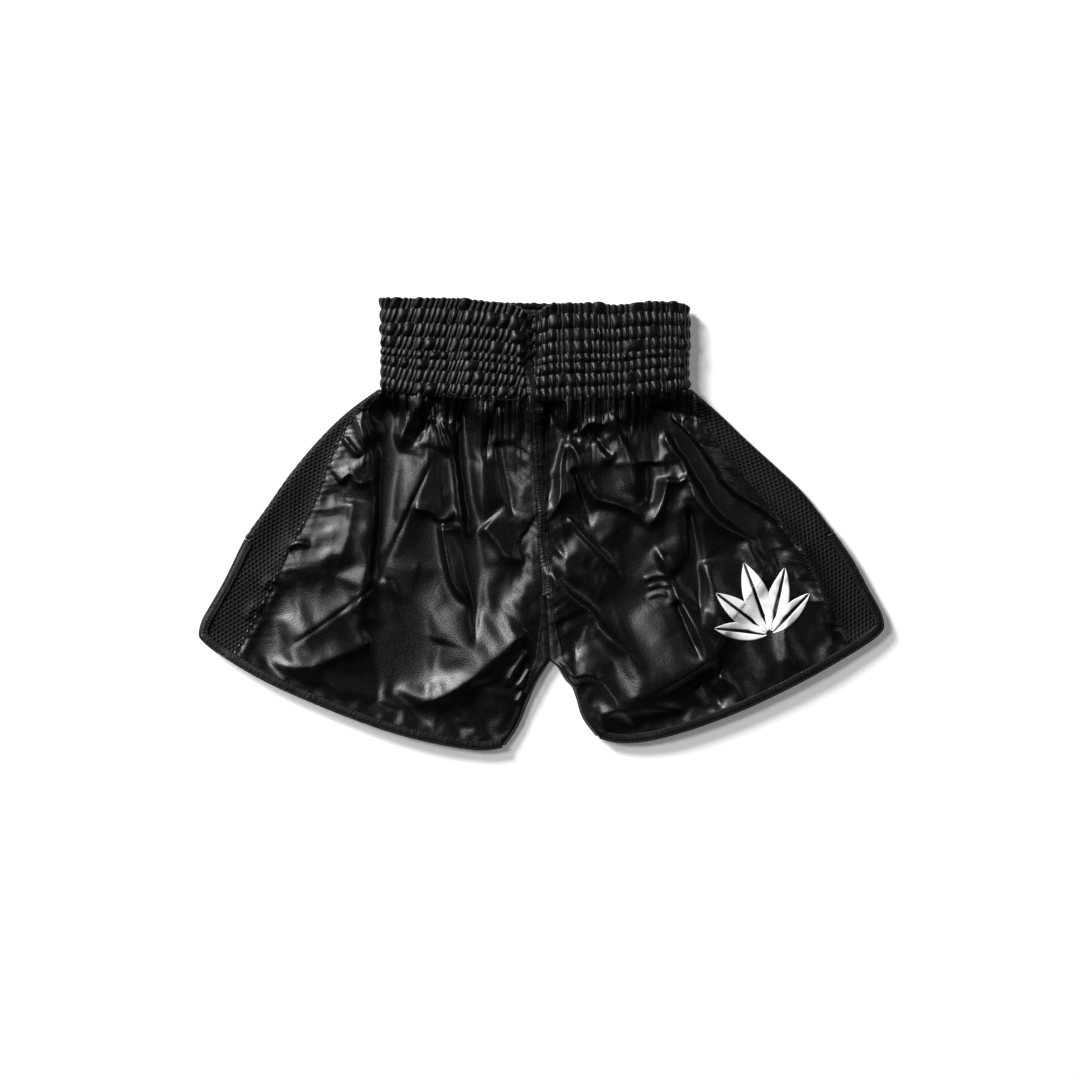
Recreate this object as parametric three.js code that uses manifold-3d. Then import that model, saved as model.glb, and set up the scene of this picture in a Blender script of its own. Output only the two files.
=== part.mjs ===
// Boxing shorts, Thai cut, lying on their back with the front up: X runs towards the wearer's
// left, Y towards the waist and Z up from the surface they lie on. All lengths are millimetres.
import * as THREE from "three";
import { mergeVertices } from "three/addons/utils/BufferGeometryUtils.js";
import Module from "manifold-3d";

const wasm = await Module();
wasm.setup();

// Waistband
const waistWidth = 302; // relaxed, measured flat across
const waistbandHeight = 91;
const waistbandBow = 11; // how far its lower edge sags in the middle
const waistbandTilt = 4; // how much higher its top stands at the wearer's right
const wearGap = 12; // free height inside the waistband as it lies
const liningThickness = 1.2;
const elasticThickness = 1.5;
const elasticWidth = 8;
const elasticRows = 8;
const coverThickness = 3.7; // gathered satin
// Legs
const rise = 250; // waist seam to crotch
const seamLean = 20; // how far the centre seam drifts sideways over waistband and rise
const cloth = 1.5; // a panel, with its small puckers pressed flat
const sideHeight = 10; // free height inside a leg at its edges
const waistLift = 9; // how much higher the front lies at the waist
const hemLift = 3; // and at the hem
const wrapInset = 5; // where a panel starts to turn round the edge of a leg
const bindingWidth = 8.5;
const bindingThickness = 2.8;
const seamWidth = 7;
const seamThickness = 1.2;
const cornerPull = 7; // rounds the hem's outer corners
const innerCornerPull = 3;
const emblemSize = 92;
const emblemThickness = 1.1;
// Fits
const clearance = 0.4; // between neighbouring pieces
const bindingGap = 0.8; // between a binding and the cloth it edges

// A leg is a sheet of rows from waist to hem; these rows are where something starts or ends.
const rows = 28;
const gussetStartRow = 15;
const crotchRow = 20;
const gussetEndRow = 23;
const ventRow = 18;
const lastRow = rows - 1;

const satin = { color: 0x0b0b0c, roughness: 0.32, metalness: 0 };
const finishes = {
  satin,
  mesh: { color: 0x0e0e0f, roughness: 0.85, metalness: 0 },
  binding: { color: 0x0a0a0b, roughness: 0.45, metalness: 0 },
  elastic: { color: 0x16161a, roughness: 0.9, metalness: 0 },
  thread: { color: 0x121214, roughness: 0.7, metalness: 0 },
  embroidery: { color: 0xe9e9ea, roughness: 0.6, metalness: 0 },
};

const mix = (a, b, t) => a + (b - a) * t;
const mixPoint = (a, b, t) => [mix(a[0], b[0], t), mix(a[1], b[1], t)];
const smooth = (t) => THREE.MathUtils.smoothstep(t, 0, 1);
const between = (a, b) => Math.hypot(b[0] - a[0], b[1] - a[1]);

// The centre seam, and the waistband's two edges, in plan.
const centreTopX = -13;
const waistSeamY = 116;
const centreX = (y) =>
  centreTopX + (seamLean * (waistSeamY + waistbandHeight - y)) / (waistbandHeight + rise);
const waistMid = centreX(waistSeamY);
const waistShare = (x) => (x - waistMid) / (waistWidth / 2);
const waistSeam = (x) => waistSeamY + waistbandBow * waistShare(x) ** 2;
const waistTop = (x) => waistSeamY + waistbandHeight + 5 - waistbandTilt * waistShare(x);
const crotch = [centreX(waistSeamY - rise), waistSeamY - rise];

// Half the waistband's height above the middle of its opening, outwards: lining, elastic, cover.
const liningFrom = wearGap / 2;
const elasticFrom = liningFrom + liningThickness + clearance;
const coverFrom = elasticFrom + elasticThickness + clearance;
const bandReach = coverFrom + coverThickness;
const bandMiddle = bandReach;

// Each leg: the hem's corners and, along each edge, how far it stands out at shares of its length.
const legs = {
  right: {
    side: -1,
    hemCorner: [-180, -238],
    hemInner: [-45, -87],
    sideBulge: [[0.12, 11], [0.25, 17], [0.4, 19], [0.53, 17.5], [0.63, 16.5], [0.8, 7]],
    hemBulge: [[0.23, 15], [0.43, 20], [0.66, 20.5], [0.82, 15], [0.94, 7]],
    inseamBulge: [[0.23, -2], [0.42, -1.2], [0.7, 1.2]],
    meshTop: 0.03,
    meshGain: 0.11,
    meshReach: 0.5,
  },
  left: {
    side: 1,
    hemCorner: [193, -230],
    hemInner: [47, -78],
    sideBulge: [[0.12, 6], [0.24, 10], [0.36, 15], [0.48, 19], [0.6, 18], [0.75, 14], [0.88, 6]],
    hemBulge: [[0.15, 9], [0.33, 17], [0.54, 22], [0.74, 21], [0.88, 15], [0.965, 5.5]],
    inseamBulge: [[0.1, -3.5], [0.27, -3.5], [0.36, -5.5], [0.49, -3.5], [0.68, 0.8]],
    meshTop: 0.08,
    meshGain: 0.05,
    meshReach: 0.3,
  },
};
const backMesh = { top: 0.12, gain: 0.04, reach: 0.4 };
const gussetWidth = 14;
const gussetTip = 2;

// A smooth edge from a to b that stands out by the given amounts, positive to the wearer's
// right of the line from a to b when turn is -1.
function edge(a, b, bulges, turn) {
  const length = between(a, b);
  const out = [(-turn * (b[1] - a[1])) / length, (turn * (b[0] - a[0])) / length];
  const inner = bulges.map(([share, stand]) => {
    const p = mixPoint(a, b, share);
    return [p[0] + out[0] * stand, p[1] + out[1] * stand];
  });
  const points = [a, ...inner, b].map(([x, y]) => new THREE.Vector3(x, y, 0));
  const curve = new THREE.CatmullRomCurve3(points, false, "centripetal");
  return (t) => {
    const p = curve.getPointAt(THREE.MathUtils.clamp(t, 0, 1));
    return [p.x, p.y];
  };
}

// A leg's plan: plan(u, v) is the point a share u from the side fold to the centre seam or
// inseam, and a share v from the waist seam to the hem.
function legPlan(leg) {
  const waistCornerX = waistMid + (leg.side * waistWidth) / 2;
  const seamY = (x) => waistSeam(x) - clearance;
  const waistCorner = [waistCornerX, seamY(waistCornerX)];
  const hemCorner = [waistCorner[0] + leg.hemCorner[0], waistCorner[1] + leg.hemCorner[1]];
  const hemInner = [crotch[0] + leg.hemInner[0], crotch[1] + leg.hemInner[1]];
  const half = (leg.side * clearance) / 2;
  const centreAt = (y) => [centreX(y) + half, y];
  const outer = edge(waistCorner, hemCorner, leg.sideBulge, leg.side);
  const hem = edge(hemCorner, hemInner, leg.hemBulge, leg.side);
  const inseam = edge(centreAt(crotch[1]), hemInner, leg.inseamBulge, -leg.side);
  const seamTop = centreAt(seamY(waistMid));
  const crotchShare = crotchRow / rows;
  const inner = (v) =>
    v <= crotchShare
      ? mixPoint(seamTop, centreAt(crotch[1]), v / crotchShare)
      : inseam((v - crotchShare) / (1 - crotchShare));
  const top = (u) => {
    const x = mix(waistCorner[0], seamTop[0], u);
    return [x, seamY(x)];
  };
  const coons = (u, v) =>
    [0, 1].map(
      (k) =>
        mix(outer(v)[k], inner(v)[k], u) +
        mix(top(u)[k], hem(u)[k], v) -
        mix(mix(waistCorner[k], seamTop[k], u), mix(hemCorner[k], hemInner[k], u), v),
    );
  const pulls = [
    { u: 0, at: hemCorner, to: coons(0.15, 0.85), by: cornerPull },
    { u: 1, at: hemInner, to: coons(0.85, 0.85), by: innerCornerPull },
  ];
  return (u, v) => {
    const p = coons(u, v);
    for (const pull of pulls) {
      const near = Math.max(0, 1 - Math.abs(u - pull.u) / 0.09) * Math.max(0, 1 - (1 - v) / 0.09);
      const share = (pull.by * near ** 2) / between(pull.at, pull.to);
      p[0] += (pull.to[0] - pull.at[0]) * share;
      p[1] += (pull.to[1] - pull.at[1]) * share;
    }
    return p;
  };
}

// Height of the underside of the front layer of a leg.
function frontHeight(u, v) {
  const fromSide = smooth(u / 0.3);
  const belowCrotch = smooth((v * rows - crotchRow + 3) / 4);
  const toInseam = 1 - belowCrotch * smooth((u - 0.72) / 0.28);
  return sideHeight + mix(waistLift, hemLift, smooth(v)) * fromSide * toInseam;
}

// A closed solid between two surfaces: point(u, v, 0) and point(u, v, 1), on a grid of columns
// and rows. With ring set, the last column joins the first.
function slab(point, columns, rowCount, ring = false) {
  const across = ring ? columns : columns + 1;
  const positions = [];
  for (const w of [0, 1])
    for (let j = 0; j <= rowCount; j++)
      for (let i = 0; i < across; i++) positions.push(...point(i / columns, j / rowCount, w));
  const at = (i, j, w) => w * across * (rowCount + 1) + j * across + (i % across);
  const index = [];
  const quad = (a, b, c, d) => index.push(a, b, c, a, c, d);
  for (let i = 0; i < columns; i++)
    for (let j = 0; j < rowCount; j++) {
      quad(at(i, j, 1), at(i + 1, j, 1), at(i + 1, j + 1, 1), at(i, j + 1, 1));
      quad(at(i, j + 1, 0), at(i + 1, j + 1, 0), at(i + 1, j, 0), at(i, j, 0));
    }
  for (let i = 0; i < columns; i++) {
    quad(at(i, 0, 0), at(i + 1, 0, 0), at(i + 1, 0, 1), at(i, 0, 1));
    quad(at(i, rowCount, 1), at(i + 1, rowCount, 1), at(i + 1, rowCount, 0), at(i, rowCount, 0));
  }
  if (!ring)
    for (let j = 0; j < rowCount; j++) {
      quad(at(0, j, 1), at(0, j + 1, 1), at(0, j + 1, 0), at(0, j, 0));
      quad(at(columns, j, 0), at(columns, j + 1, 0), at(columns, j + 1, 1), at(columns, j, 1));
    }
  const geometry = new THREE.BufferGeometry();
  geometry.setAttribute("position", new THREE.Float32BufferAttribute(positions, 3));
  geometry.setIndex(index);
  return signedVolume(geometry) < 0 ? reversed(geometry) : geometry;
}

function signedVolume(geometry) {
  const p = geometry.attributes.position;
  const [a, b, c] = [new THREE.Vector3(), new THREE.Vector3(), new THREE.Vector3()];
  let sum = 0;
  for (let i = 0; i < geometry.index.count; i += 3) {
    [a, b, c].forEach((corner, k) => corner.fromBufferAttribute(p, geometry.index.getX(i + k)));
    sum += a.dot(b.cross(c)) / 6;
  }
  return sum;
}

function reversed(geometry) {
  const flipped = Array.from(geometry.index.array);
  for (let i = 0; i < flipped.length; i += 3)
    [flipped[i + 1], flipped[i + 2]] = [flipped[i + 2], flipped[i + 1]];
  return geometry.setIndex(flipped);
}

function toManifold(geometry) {
  const bare = geometry.clone();
  bare.deleteAttribute("normal");
  bare.deleteAttribute("uv");
  const merged = mergeVertices(bare, 1e-4);
  return new wasm.Manifold(
    new wasm.Mesh({
      numProp: 3,
      vertProperties: new Float32Array(merged.attributes.position.array),
      triVerts: new Uint32Array(merged.index.array),
    }),
  );
}

function fromManifold(solid) {
  const mesh = solid.getMesh();
  const geometry = new THREE.BufferGeometry();
  geometry.setAttribute("position", new THREE.BufferAttribute(mesh.vertProperties, 3));
  return geometry.setIndex(new THREE.BufferAttribute(mesh.triVerts, 1));
}

const joined = (...geometries) =>
  fromManifold(geometries.map(toManifold).reduce((all, next) => all.add(next)));

const shorts = new THREE.Group();
function add(name, geometry, finish) {
  const mesh = new THREE.Mesh(geometry, new THREE.MeshStandardMaterial(finishes[finish]));
  mesh.name = name;
  shorts.add(mesh);
}

// Share of a leg's width or length that a distance in millimetres takes up.
const widthShare = (plan, mm, v) => mm / between(plan(0, v), plan(1, v));
const lengthShare = (plan, mm, u) => mm / between(plan(u, 0), plan(u, 1));

// The row line j of a piece that ends short of the hem binding.
function rowAt(plan, u, j) {
  const hemLine = 1 - lengthShare(plan, bindingWidth + bindingGap, u);
  return j <= lastRow ? Math.min(j / rows, hemLine) : hemLine;
}

// The line between the mesh and a satin panel; the mesh is never too narrow to turn the edge.
const meshSeam = (plan, part, v) =>
  Math.max(part.top + part.gain * smooth(v / part.reach), widthShare(plan, wrapInset + 1.5, v));
const frontMesh = (leg) => ({ top: leg.meshTop, gain: leg.meshGain, reach: leg.meshReach });

// Width of the gusset at a row, from its tip on the rise to its end on the inseam.
function gussetReach(row) {
  const rise = row < crotchRow;
  const [from, tip] = rise ? [gussetStartRow, gussetTip] : [gussetEndRow, wrapInset + 1];
  return mix(gussetWidth, tip, Math.abs(row - crotchRow) / Math.abs(from - crotchRow));
}

// Where a panel of a leg ends towards the middle of the garment.
function panelEnd(plan, v) {
  const row = v * rows;
  const inGusset = row > gussetStartRow - 0.5 && row < gussetEndRow + 0.5;
  const nearest = THREE.MathUtils.clamp(row, gussetStartRow, gussetEndRow);
  if (inGusset) return 1 - widthShare(plan, gussetReach(nearest) + clearance, v);
  return row < crotchRow ? 1 : 1 - widthShare(plan, wrapInset + 1.5 * clearance, v);
}

// A satin panel between the mesh seam and the middle, on the front or the back.
function panel(plan, mesh, layer) {
  return slab(
    (a, b, w) => {
      const j = b * rows;
      const rough = Math.min(j, lastRow) / rows;
      const start = (v) => meshSeam(plan, mesh, v) + widthShare(plan, clearance / 2, v);
      const guess = mix(start(rough), panelEnd(plan, rough), a);
      const v = rowAt(plan, guess, j);
      const u = mix(start(v), panelEnd(plan, v), a);
      return [...plan(u, v), layer(u, v, w)];
    },
    14,
    rows,
  );
}

const frontLayer = (u, v, w) => frontHeight(u, v) + w * cloth;
const backLayer = (u, v, w) => (1 - w) * cloth;

// The point a share a of the way round the edge of a leg, from the front over the fold to the
// back, on the cloth's outside for w 1 and inside for w 0. edgeU is 0 at the side, 1 at the inseam.
function aroundEdge(plan, edgeU, v, a, w) {
  const rim = plan(edgeU, v);
  const near = plan(edgeU + (0.5 - edgeU) * 0.02, v);
  const length = between(rim, near);
  const out = [(rim[0] - near[0]) / length, (rim[1] - near[1]) / length];
  const reach = -wrapInset + (wrapInset - (1 - w) * cloth) * Math.sin(Math.PI * a);
  const front = frontHeight(edgeU, v);
  return [
    rim[0] + out[0] * reach,
    rim[1] + out[1] * reach,
    mix(front + w * cloth, (1 - w) * cloth, a),
  ];
}

// A sheet that runs from a front seam, round the edge of a leg, to a back seam, over some rows.
function wrap(plan, edgeU, frontSeam, backSeam, fromRow, toRow) {
  const flat = 4;
  const round = 8;
  const columns = 2 * flat + round;
  const inset = (v) => Math.abs(edgeU - widthShare(plan, wrapInset, v));
  return slab(
    (a, b, w) => {
      const v = mix(fromRow, toRow, b) / rows;
      const i = Math.round(a * columns);
      if (i < flat) {
        const u = mix(frontSeam(v), inset(v), i / flat);
        return [...plan(u, v), frontLayer(u, v, w)];
      }
      if (i > flat + round) {
        const u = mix(inset(v), backSeam(v), (i - flat - round) / flat);
        return [...plan(u, v), backLayer(u, v, w)];
      }
      return aroundEdge(plan, edgeU, v, (i - flat) / round, w);
    },
    columns,
    Math.max(1, Math.round(toRow - fromRow)),
  );
}

// A flat strip of a leg between two lines of shares, over whole rows down to the hem binding.
function strip(plan, from, to, layer, fromRow, toRow) {
  const count = Math.max(1, Math.round(toRow - fromRow));
  return slab(
    (a, b, w) => {
      const j = Math.round(mix(fromRow, toRow, b));
      const guess = mix(from(j / rows), to(j / rows), a);
      const v = rowAt(plan, guess, j);
      const u = mix(from(v), to(v), a);
      return [...plan(u, v), layer(u, v, w)];
    },
    4,
    count,
  );
}

// The mesh panel: it wraps round the side down to the vent, and hangs in two flaps below it.
function sideMesh(plan, leg) {
  const halfGap = (v) => widthShare(plan, clearance / 2, v);
  const front = (v) => meshSeam(plan, frontMesh(leg), v) - halfGap(v);
  const back = (v) => meshSeam(plan, backMesh, v) - halfGap(v);
  const edgeOfFlap = (v) => widthShare(plan, bindingWidth + bindingGap, v);
  const upper = wrap(plan, 0, front, back, 0, ventRow);
  const flapFrom = ventRow - 1;
  return joined(
    upper,
    strip(plan, edgeOfFlap, front, frontLayer, flapFrom, rows),
    strip(plan, edgeOfFlap, back, backLayer, flapFrom, rows),
  );
}

// The gusset: a front and a back half above the crotch, and a stretch that wraps the inseam.
function gusset(plan) {
  const seam = (v) => 1 - widthShare(plan, gussetReach(v * rows), v);
  const middle = () => 1;
  const upper = (layer) =>
    slab(
      (a, b, w) => {
        const v = mix(gussetStartRow, crotchRow, b) / rows;
        const u = mix(seam(v), middle(v), a);
        return [...plan(u, v), layer(u, v, w)];
      },
      3,
      crotchRow - gussetStartRow,
    );
  const lower = wrap(plan, 1, seam, seam, crotchRow - 1, gussetEndRow);
  return joined(lower, upper(frontLayer), upper(backLayer));
}

// The inseam below the gusset, where front and back panels are sewn to each other.
function inseamWall(plan) {
  return slab(
    (a, b, w) => {
      const v = mix(gussetEndRow + 0.1, rowAt(plan, 1, rows) * rows, b) / rows;
      return aroundEdge(plan, 1, v, a, w);
    },
    8,
    5,
  );
}

// The binding of one hem: along the hem from the inseam to the corner, then up the vent.
function binding(plan, layer) {
  const hemSteps = 22;
  const ventSteps = 8;
  const ventShare = (ventRow + 0.15) / rows;
  const total = hemSteps + ventSteps;
  return slab(
    (a, b, w) => {
      const i = Math.round(a * total);
      let u;
      let v;
      if (i <= hemSteps) {
        const outerU = 1 - i / hemSteps;
        const innerU = mix(1, widthShare(plan, bindingWidth, 1), i / hemSteps);
        u = mix(outerU, innerU, b);
        v = 1 - b * lengthShare(plan, bindingWidth, u);
      } else {
        const t = (i - hemSteps) / ventSteps;
        const innerV = mix(1 - lengthShare(plan, bindingWidth, 0), ventShare, t);
        v = mix(mix(1, ventShare, t), innerV, b);
        u = b * widthShare(plan, bindingWidth, v);
      }
      return [...plan(u, v), layer(u, v, w)];
    },
    total,
    1,
  );
}
const bindingOver = (bindingThickness - cloth) / 2;
const frontBinding = (u, v, w) => frontHeight(u, v) + mix(-bindingOver, cloth + bindingOver, w);
const backBinding = (u, v, w) => w * bindingThickness;

// The bar of stitches that ends a vent, between the two bindings.
function ventTack(plan) {
  const width = 3;
  const v = (row) => row / rows;
  return slab(
    (a, b, w) => {
      const row = v(ventRow + 0.2 + 0.3 * b);
      const u = widthShare(plan, 1 + width * a, row);
      const high = frontHeight(u, row) - bindingOver - clearance;
      return [...plan(u, row), mix(bindingThickness + clearance, high, w)];
    },
    1,
    1,
  );
}

// A strip over the centre seam from the waistband to the gusset, on the wearer's right.
function centreSeam(plan, layer) {
  return slab(
    (a, b, w) => {
      const v = mix(0.3, gussetStartRow - 0.5, b) / rows;
      const u = 1 - widthShare(plan, mix(seamWidth, 0.2, a), v);
      return [...plan(u, v), layer(u, v, w)];
    },
    3,
    12,
  );
}
const overFront = (u, v, w) => frontHeight(u, v) + cloth + clearance + w * seamThickness;
const overBack = (u, v, w) => cloth + clearance + w * seamThickness;

// The waistband is a flattened tube. A point of it, from the front middle (a 0) round one side
// to the back middle (a 1), at a share of its height, offset outwards from the opening.
const flatSteps = 9;
const endSteps = 8;
const halfSteps = 2 * flatSteps + endSteps;
function bandPoint(side, i, height, offset, middleGap) {
  const endX = waistMid + side * (waistWidth / 2 - bandReach);
  const roughY = mix(waistSeamY, waistSeamY + waistbandHeight, height);
  const startX = centreX(roughY) + side * middleGap;
  let x;
  let z;
  if (i <= flatSteps) {
    x = mix(startX, endX, i / flatSteps);
    z = bandMiddle + offset;
  } else if (i >= flatSteps + endSteps) {
    x = mix(endX, startX, (i - flatSteps - endSteps) / flatSteps);
    z = bandMiddle - offset;
  } else {
    const angle = (Math.PI * (i - flatSteps)) / endSteps;
    x = endX + side * offset * Math.sin(angle);
    z = bandMiddle + offset * Math.cos(angle);
  }
  return [x, mix(waistSeam(x), waistTop(x), height), z];
}

function bandHalf(side, from, thickness) {
  return slab(
    (a, b, w) => bandPoint(side, Math.round(a * halfSteps), b, from + w * thickness, clearance / 2),
    halfSteps,
    8,
  );
}

// One row of elastic, a closed loop between lining and cover.
function elasticLoop(row) {
  const pitch = 1 / elasticRows;
  const halfWidth = elasticWidth / 2 / (waistbandHeight - waistbandBow);
  const middle = (row + 0.5) * pitch;
  return slab(
    (a, b, w) => {
      const i = Math.round(a * 2 * halfSteps) % (2 * halfSteps);
      const height = middle + mix(-halfWidth, halfWidth, b);
      const offset = elasticFrom + w * elasticThickness;
      return i < halfSteps
        ? bandPoint(1, i, height, offset, 0)
        : bandPoint(-1, 2 * halfSteps - i, height, offset, 0);
    },
    2 * halfSteps,
    1,
    true,
  );
}

// The emblem: a lotus of pointed petals on a curved stem line, cut from a skin that lies on
// the left front panel.
function petal(tilt, length, width) {
  const outline = new THREE.Shape();
  outline.moveTo(0, 0);
  outline.bezierCurveTo(width, length * 0.3, width * 0.8, length * 0.7, 0, length);
  outline.bezierCurveTo(-width * 0.8, length * 0.7, -width, length * 0.3, 0, 0);
  return { outline, tilt };
}
const petals = [
  petal(0, 0.8, 0.2),
  petal(33, 0.72, 0.17),
  petal(-33, 0.72, 0.17),
  petal(64, 0.6, 0.14),
  petal(-64, 0.6, 0.14),
];
const emblemPlace = { u: 0.345, v: 0.83, turn: 20 };

function emblem(plan) {
  const skin = slab(
    (a, b, w) => {
      const u = mix(0.15, 0.62, a);
      const v = mix(0.5, 0.96, b);
      return [...plan(u, v), frontLayer(u, v, 1) + clearance + w * emblemThickness];
    },
    16,
    14,
  );
  const [x, y] = plan(emblemPlace.u, emblemPlace.v);
  const tall = 60;
  const prism = ({ outline, tilt }) => {
    const solid = new THREE.ExtrudeGeometry(outline, { depth: 1, bevelEnabled: false, curveSegments: 8 });
    const turn = THREE.MathUtils.degToRad(emblemPlace.turn);
    solid.rotateZ(THREE.MathUtils.degToRad(tilt));
    solid.scale(emblemSize, emblemSize, tall);
    return solid.rotateZ(turn).translate(x, y, 0);
  };
  const motif = petals.map(prism).map(toManifold).reduce((all, next) => all.add(next));
  return fromManifold(motif.intersect(toManifold(skin)));
}

for (const [name, leg] of Object.entries(legs)) {
  const plan = legPlan(leg);
  add(`front_panel_${name}`, panel(plan, frontMesh(leg), frontLayer), "satin");
  add(`back_panel_${name}`, panel(plan, backMesh, backLayer), "satin");
  add(`side_mesh_${name}`, sideMesh(plan, leg), "mesh");
  add(`crotch_gusset_${name}`, gusset(plan), "satin");
  add(`inseam_${name}`, inseamWall(plan), "satin");
  add(`hem_binding_front_${name}`, binding(plan, frontBinding), "binding");
  add(`hem_binding_back_${name}`, binding(plan, backBinding), "binding");
  add(`vent_tack_${name}`, ventTack(plan), "thread");
  add(`waistband_cover_${name}`, bandHalf(leg.side, coverFrom, coverThickness), "satin");
  add(`waistband_lining_${name}`, bandHalf(leg.side, liningFrom, liningThickness), "satin");
  if (leg.side < 0) {
    add("centre_front_seam", centreSeam(plan, overFront), "thread");
    add("centre_back_seam", centreSeam(plan, overBack), "thread");
  } else {
    add("emblem", emblem(plan), "embroidery");
  }
}
for (let row = 0; row < elasticRows; row++)
  add(`waist_elastic_${row + 1}`, elasticLoop(row), "elastic");

// The origin is the middle of the box's underside.
const box = new THREE.Box3().setFromObject(shorts);
const middle = box.getCenter(new THREE.Vector3());
shorts.position.set(-middle.x, -middle.y, -box.min.z);

export default shorts;
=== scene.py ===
import math
import bpy
import numpy as np
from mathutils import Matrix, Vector
from mathutils.bvhtree import BVHTree


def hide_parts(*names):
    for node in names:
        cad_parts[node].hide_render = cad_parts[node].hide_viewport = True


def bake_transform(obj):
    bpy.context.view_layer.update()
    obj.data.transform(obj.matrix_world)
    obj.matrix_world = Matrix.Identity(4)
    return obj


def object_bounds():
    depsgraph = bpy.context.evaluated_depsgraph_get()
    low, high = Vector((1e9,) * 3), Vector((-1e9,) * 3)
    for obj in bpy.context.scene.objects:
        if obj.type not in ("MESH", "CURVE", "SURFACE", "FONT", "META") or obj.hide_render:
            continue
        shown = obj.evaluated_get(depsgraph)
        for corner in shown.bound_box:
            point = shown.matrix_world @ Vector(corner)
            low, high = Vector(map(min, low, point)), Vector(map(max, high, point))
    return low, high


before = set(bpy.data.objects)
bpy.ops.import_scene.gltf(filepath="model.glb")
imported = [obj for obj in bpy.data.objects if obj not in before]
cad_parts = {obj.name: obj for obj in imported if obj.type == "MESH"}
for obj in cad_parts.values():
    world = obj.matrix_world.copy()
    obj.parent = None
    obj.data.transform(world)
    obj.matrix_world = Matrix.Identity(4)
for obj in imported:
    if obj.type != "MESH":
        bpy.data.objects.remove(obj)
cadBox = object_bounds()
mm = 0.001  # the shapes below are worked out in millimetres

# Camera, light and floor

studio = {
    "aim": (-1.4, -15.4),  # mm
    "distance": 2468,  # mm above the floor
    "lens": 85,
    "softboxes": {  # place and side in metres, power in watts
        "key": ((-3.8, 3.7, 3.3), 1.7, 640),
        "gloss": ((-1.7, 0.75, 2.7), 0.7, 46),
        "rim": ((2.3, 0.9, 1.7), 0.7, 7),
    },
    "skyStrength": 0.025,
    "floorGlow": 0.16,
}


def addCamera():
    camera = bpy.data.objects.new("camera", bpy.data.cameras.new("camera"))
    bpy.context.scene.collection.objects.link(camera)
    camera.data.lens = studio["lens"]
    camera.data.sensor_width = 36
    camera.data.clip_end = 50
    aimX, aimY = studio["aim"]
    camera.location = (aimX * mm, aimY * mm, studio["distance"] * mm)
    bpy.context.scene.camera = camera


def addSoftbox(name, place, size, power):
    light = bpy.data.objects.new(name, bpy.data.lights.new(name, "AREA"))
    bpy.context.scene.collection.objects.link(light)
    light.data.shape = "SQUARE"
    light.data.size = size
    light.data.energy = power
    light.location = place
    light.rotation_euler = (-Vector(place)).to_track_quat("-Z", "Y").to_euler()


addCamera()
for softbox, (place, size, power) in studio["softboxes"].items():
    addSoftbox(softbox, place, size, power)
world = bpy.data.worlds.new("studio")
world.use_nodes = True
sky = world.node_tree.nodes["Background"]
sky.inputs["Color"].default_value = (1, 1, 1, 1)
sky.inputs["Strength"].default_value = studio["skyStrength"]
bpy.context.scene.world = world
bpy.context.scene.view_settings.view_transform = "Standard"
print("stage set")

# Finishes


class Wire:
    # a socket that can stand in a sum
    def __init__(self, paint, socket):
        self.paint = paint
        self.socket = socket

    def work(self, operation, first, second):
        return self.paint.node("ShaderNodeMath", {"operation": operation}, {0: first, 1: second})

    def __add__(self, other):
        return self.work("ADD", self, other)

    def __radd__(self, other):
        return self.work("ADD", other, self)

    def __sub__(self, other):
        return self.work("SUBTRACT", self, other)

    def __rsub__(self, other):
        return self.work("SUBTRACT", other, self)

    def __mul__(self, other):
        return self.work("MULTIPLY", self, other)

    def __rmul__(self, other):
        return self.work("MULTIPLY", other, self)


class Paint:
    # a material whose nodes are added one call at a time
    def __init__(self, name):
        self.material = bpy.data.materials.new(name)
        self.material.use_nodes = True
        self.tree = self.material.node_tree
        self.shader = self.tree.nodes["Principled BSDF"]

    def plug(self, socket, value):
        if isinstance(value, Wire):
            self.tree.links.new(value.socket, socket)
        else:
            socket.default_value = value

    def node(self, kind, settings, values, output=0):
        made = self.tree.nodes.new(kind)
        for key, value in settings.items():
            setattr(made, key, value)
        for key, value in values.items():
            self.plug(made.inputs[key], value)
        return Wire(self, made.outputs[output])

    def mixColour(self, share, first, second):
        return self.node(
            "ShaderNodeMix",
            {"data_type": "RGBA"},
            {0: share, 6: first, 7: second},
            output=2,
        )

    def place(self):
        return self.node("ShaderNodeTexCoord", {}, {}, "Object")

    def noise(self, scale, detail=2.0, stretch=(1, 1, 1)):
        at = self.node(
            "ShaderNodeVectorMath", {"operation": "MULTIPLY"}, {0: self.place(), 1: stretch}
        )
        return self.node("ShaderNodeTexNoise", {}, {"Vector": at, "Scale": scale, "Detail": detail})

    def bump(self, height, strength, distance):
        return self.node(
            "ShaderNodeBump", {}, {"Height": height, "Strength": strength, "Distance": distance}
        )

    def finish(self, **values):
        for key, value in values.items():
            self.plug(self.shader.inputs[key.replace("_", " ")], value)
        return self.material


coolTint = 1.04  # every grey leans a little to blue


def grey(value):
    return (value, value, value * coolTint, 1)


satinLook = {
    "dark": 0.0006,
    "light": 0.0018,
    "rough": 0.36,
    "grainRough": 0.3,  # how much the grain and the clouds change the roughness
    "cloudRough": 0.12,
    "specular": 0.36,
    "grainSize": 1.4,  # mm
    "threadSize": 0.8,
    "threadStretch": (0.25, 1, 1),
    "cloudScale": 30,
    "grainHeight": 0.6,
    "threadHeight": 0.5,
    "bump": 1.0,
    "relief": 0.26,  # mm
}


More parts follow.
